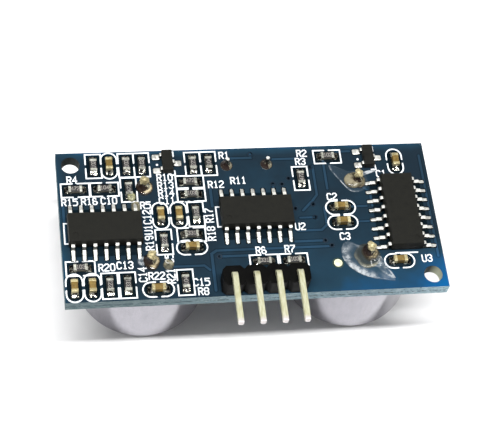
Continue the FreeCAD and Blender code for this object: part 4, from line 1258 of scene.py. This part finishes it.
def make_floor():
    """A plain white floor that the transducers stand on.

    It is clear when seen from below, and casts no shadow, so that it never hides the
    object's underside. It has a round opening under each can, and it fades into the
    white surroundings far out.
    """
    reach, fade_from, fade_to = 600, 110, 260
    mesh = bpy.data.meshes.new("floor")
    corners = [(-reach, -reach), (reach, -reach), (reach, reach), (-reach, reach)]
    mesh.from_pydata([(x * MM, y * MM, cad_low.z) for x, y in corners], [], [[0, 1, 2, 3]])
    paint = Paint("floor", Roughness=0.9)
    far_out = paint.spread(paint.vector("LENGTH", paint.point).outputs["Value"],
                           fade_from, fade_to)
    below = paint.larger(paint.add("NewGeometry").outputs["Backfacing"],
                         paint.add("LightPath").outputs["Is Shadow Ray"])
    opening = paint.larger(*[under_can(paint, side) for side in SIDES])
    choose = paint.add("MixShader")
    clear = paint.add("BsdfTransparent")
    gone = paint.larger(opening, paint.larger(far_out, below))
    for socket, value in zip(choose.inputs, (gone, paint.shader.outputs[0],
                                             clear.outputs[0])):
        paint.plug(socket, value)
    paint.feed(paint.tree.nodes["Material Output"], Surface=choose.outputs[0])
    mesh.materials.append(paint.finish(Base_Color=paint.ramp(
        paint.noise(6.0), (0.3, (0.88, 0.88, 0.88, 1)), (0.7, (0.92, 0.92, 0.92, 1)))))
    floor = bpy.data.objects.new("floor", mesh)
    bpy.context.scene.collection.objects.link(floor)


def make_surroundings():
    """White to the camera, weak as a lamp, and dark sky with a pale rim in reflections.

    Polished metal sees the darkest patch of that sky beyond the board from the camera.
    """
    darkest, seen_strength, lamp_strength = (0.17, 0.49, 0.86), 1.0, 0.12
    world = bpy.data.worlds.new("studio")
    world.use_nodes = True
    nodes = Nodes(world.node_tree)
    path = nodes.add("LightPath")
    looking = nodes.add("TexCoord").outputs["Generated"]
    towards = nodes.vector("DOT_PRODUCT", looking, darkest).outputs["Value"]
    overhead = nodes.spread(towards, 0.45, 0.95, 0.24, 0.04)
    steepness = nodes.part(looking, "Z")
    level = nodes.spread(steepness, 0.05, 0.45, 0.30, 0.0)
    downward = nodes.spread(steepness, -0.25, 0.0, 0.30, 0.0)
    sky = nodes.plus(overhead, nodes.plus(level, downward))
    unseen = nodes.choose(path.outputs["Is Glossy Ray"], lamp_strength, sky)
    strength = nodes.choose(path.outputs["Is Camera Ray"], unseen, seen_strength)
    nodes.feed(world.node_tree.nodes["Background"], Color=(1, 1, 1, 1), Strength=strength)
    bpy.context.scene.world = world
    bpy.context.scene.view_settings.view_transform = "Standard"


def make_lamps():
    """A strip lamp nearly overhead, and weak ones at the left, at the right and below.

    The strip is long from left to right and narrow from front to back, so shadows end
    sharply towards the camera and fade out sideways. The others leave no reflection.
    """
    for name, place, width, depth, power in (
            ("key", (-0.03, -0.08, 0.50), 0.50, 0.04, 4.5),
            ("left_fill", (-0.42, 0.02, 0.15), 0.25, 0.25, 0.75),
            ("right_fill", (0.42, 0.02, 0.15), 0.25, 0.25, 0.55),
            ("lower_fill", (0.02, 0.06, -0.50), 0.40, 0.40, 0.9)):
        light = bpy.data.lights.new(name, "AREA")
        light.shape = "RECTANGLE"
        light.size = width
        light.size_y = depth
        light.energy = power
        lamp = bpy.data.objects.new(name, light)
        lamp.location = place
        away = Vector((0 if name == "key" else place[0], place[1], place[2]))
        lamp.rotation_euler = away.to_track_quat("Z", "Y").to_euler()
        lamp.visible_glossy = name == "key"
        bpy.context.scene.collection.objects.link(lamp)


def make_camera():
    """A long lens from the front left and above, rolled so that the board looks level."""
    target = Vector((-0.45, -0.45, TOP)) * MM
    distance = 191.99 * MM
    azimuth, elevation, roll = (math.radians(angle) for angle in (19.02, 58.86, 14.29))
    data = bpy.data.cameras.new("camera")
    data.lens = 118.1
    data.clip_start = 0.01
    camera = bpy.data.objects.new("camera", data)
    camera.matrix_world = (Matrix.Translation(target)
                           @ Matrix.Rotation(-azimuth, 4, "Z")
                           @ Matrix.Rotation(math.pi / 2 - elevation, 4, "X")
                           @ Matrix.Rotation(roll, 4, "Z")
                           @ Matrix.Translation((0, 0, distance)))
    bpy.context.scene.collection.objects.link(camera)
    bpy.context.scene.camera = camera


dress_frame()
lay_copper("component_side", TOP, 1, TRACES)
lay_clearances()
lay_copper("transducer_side", BOTTOM, -1, LOWER_TRACES)
solder_small_parts()
solder_pins()
burnt_collars()
spill_flux()
fill_test_point()
print_component_side()
print_resistor_codes()
print_transducer_side()
for transducer in SIDES:
    weave_screen(transducer)
make_floor()
make_surroundings()
make_lamps()
make_camera()
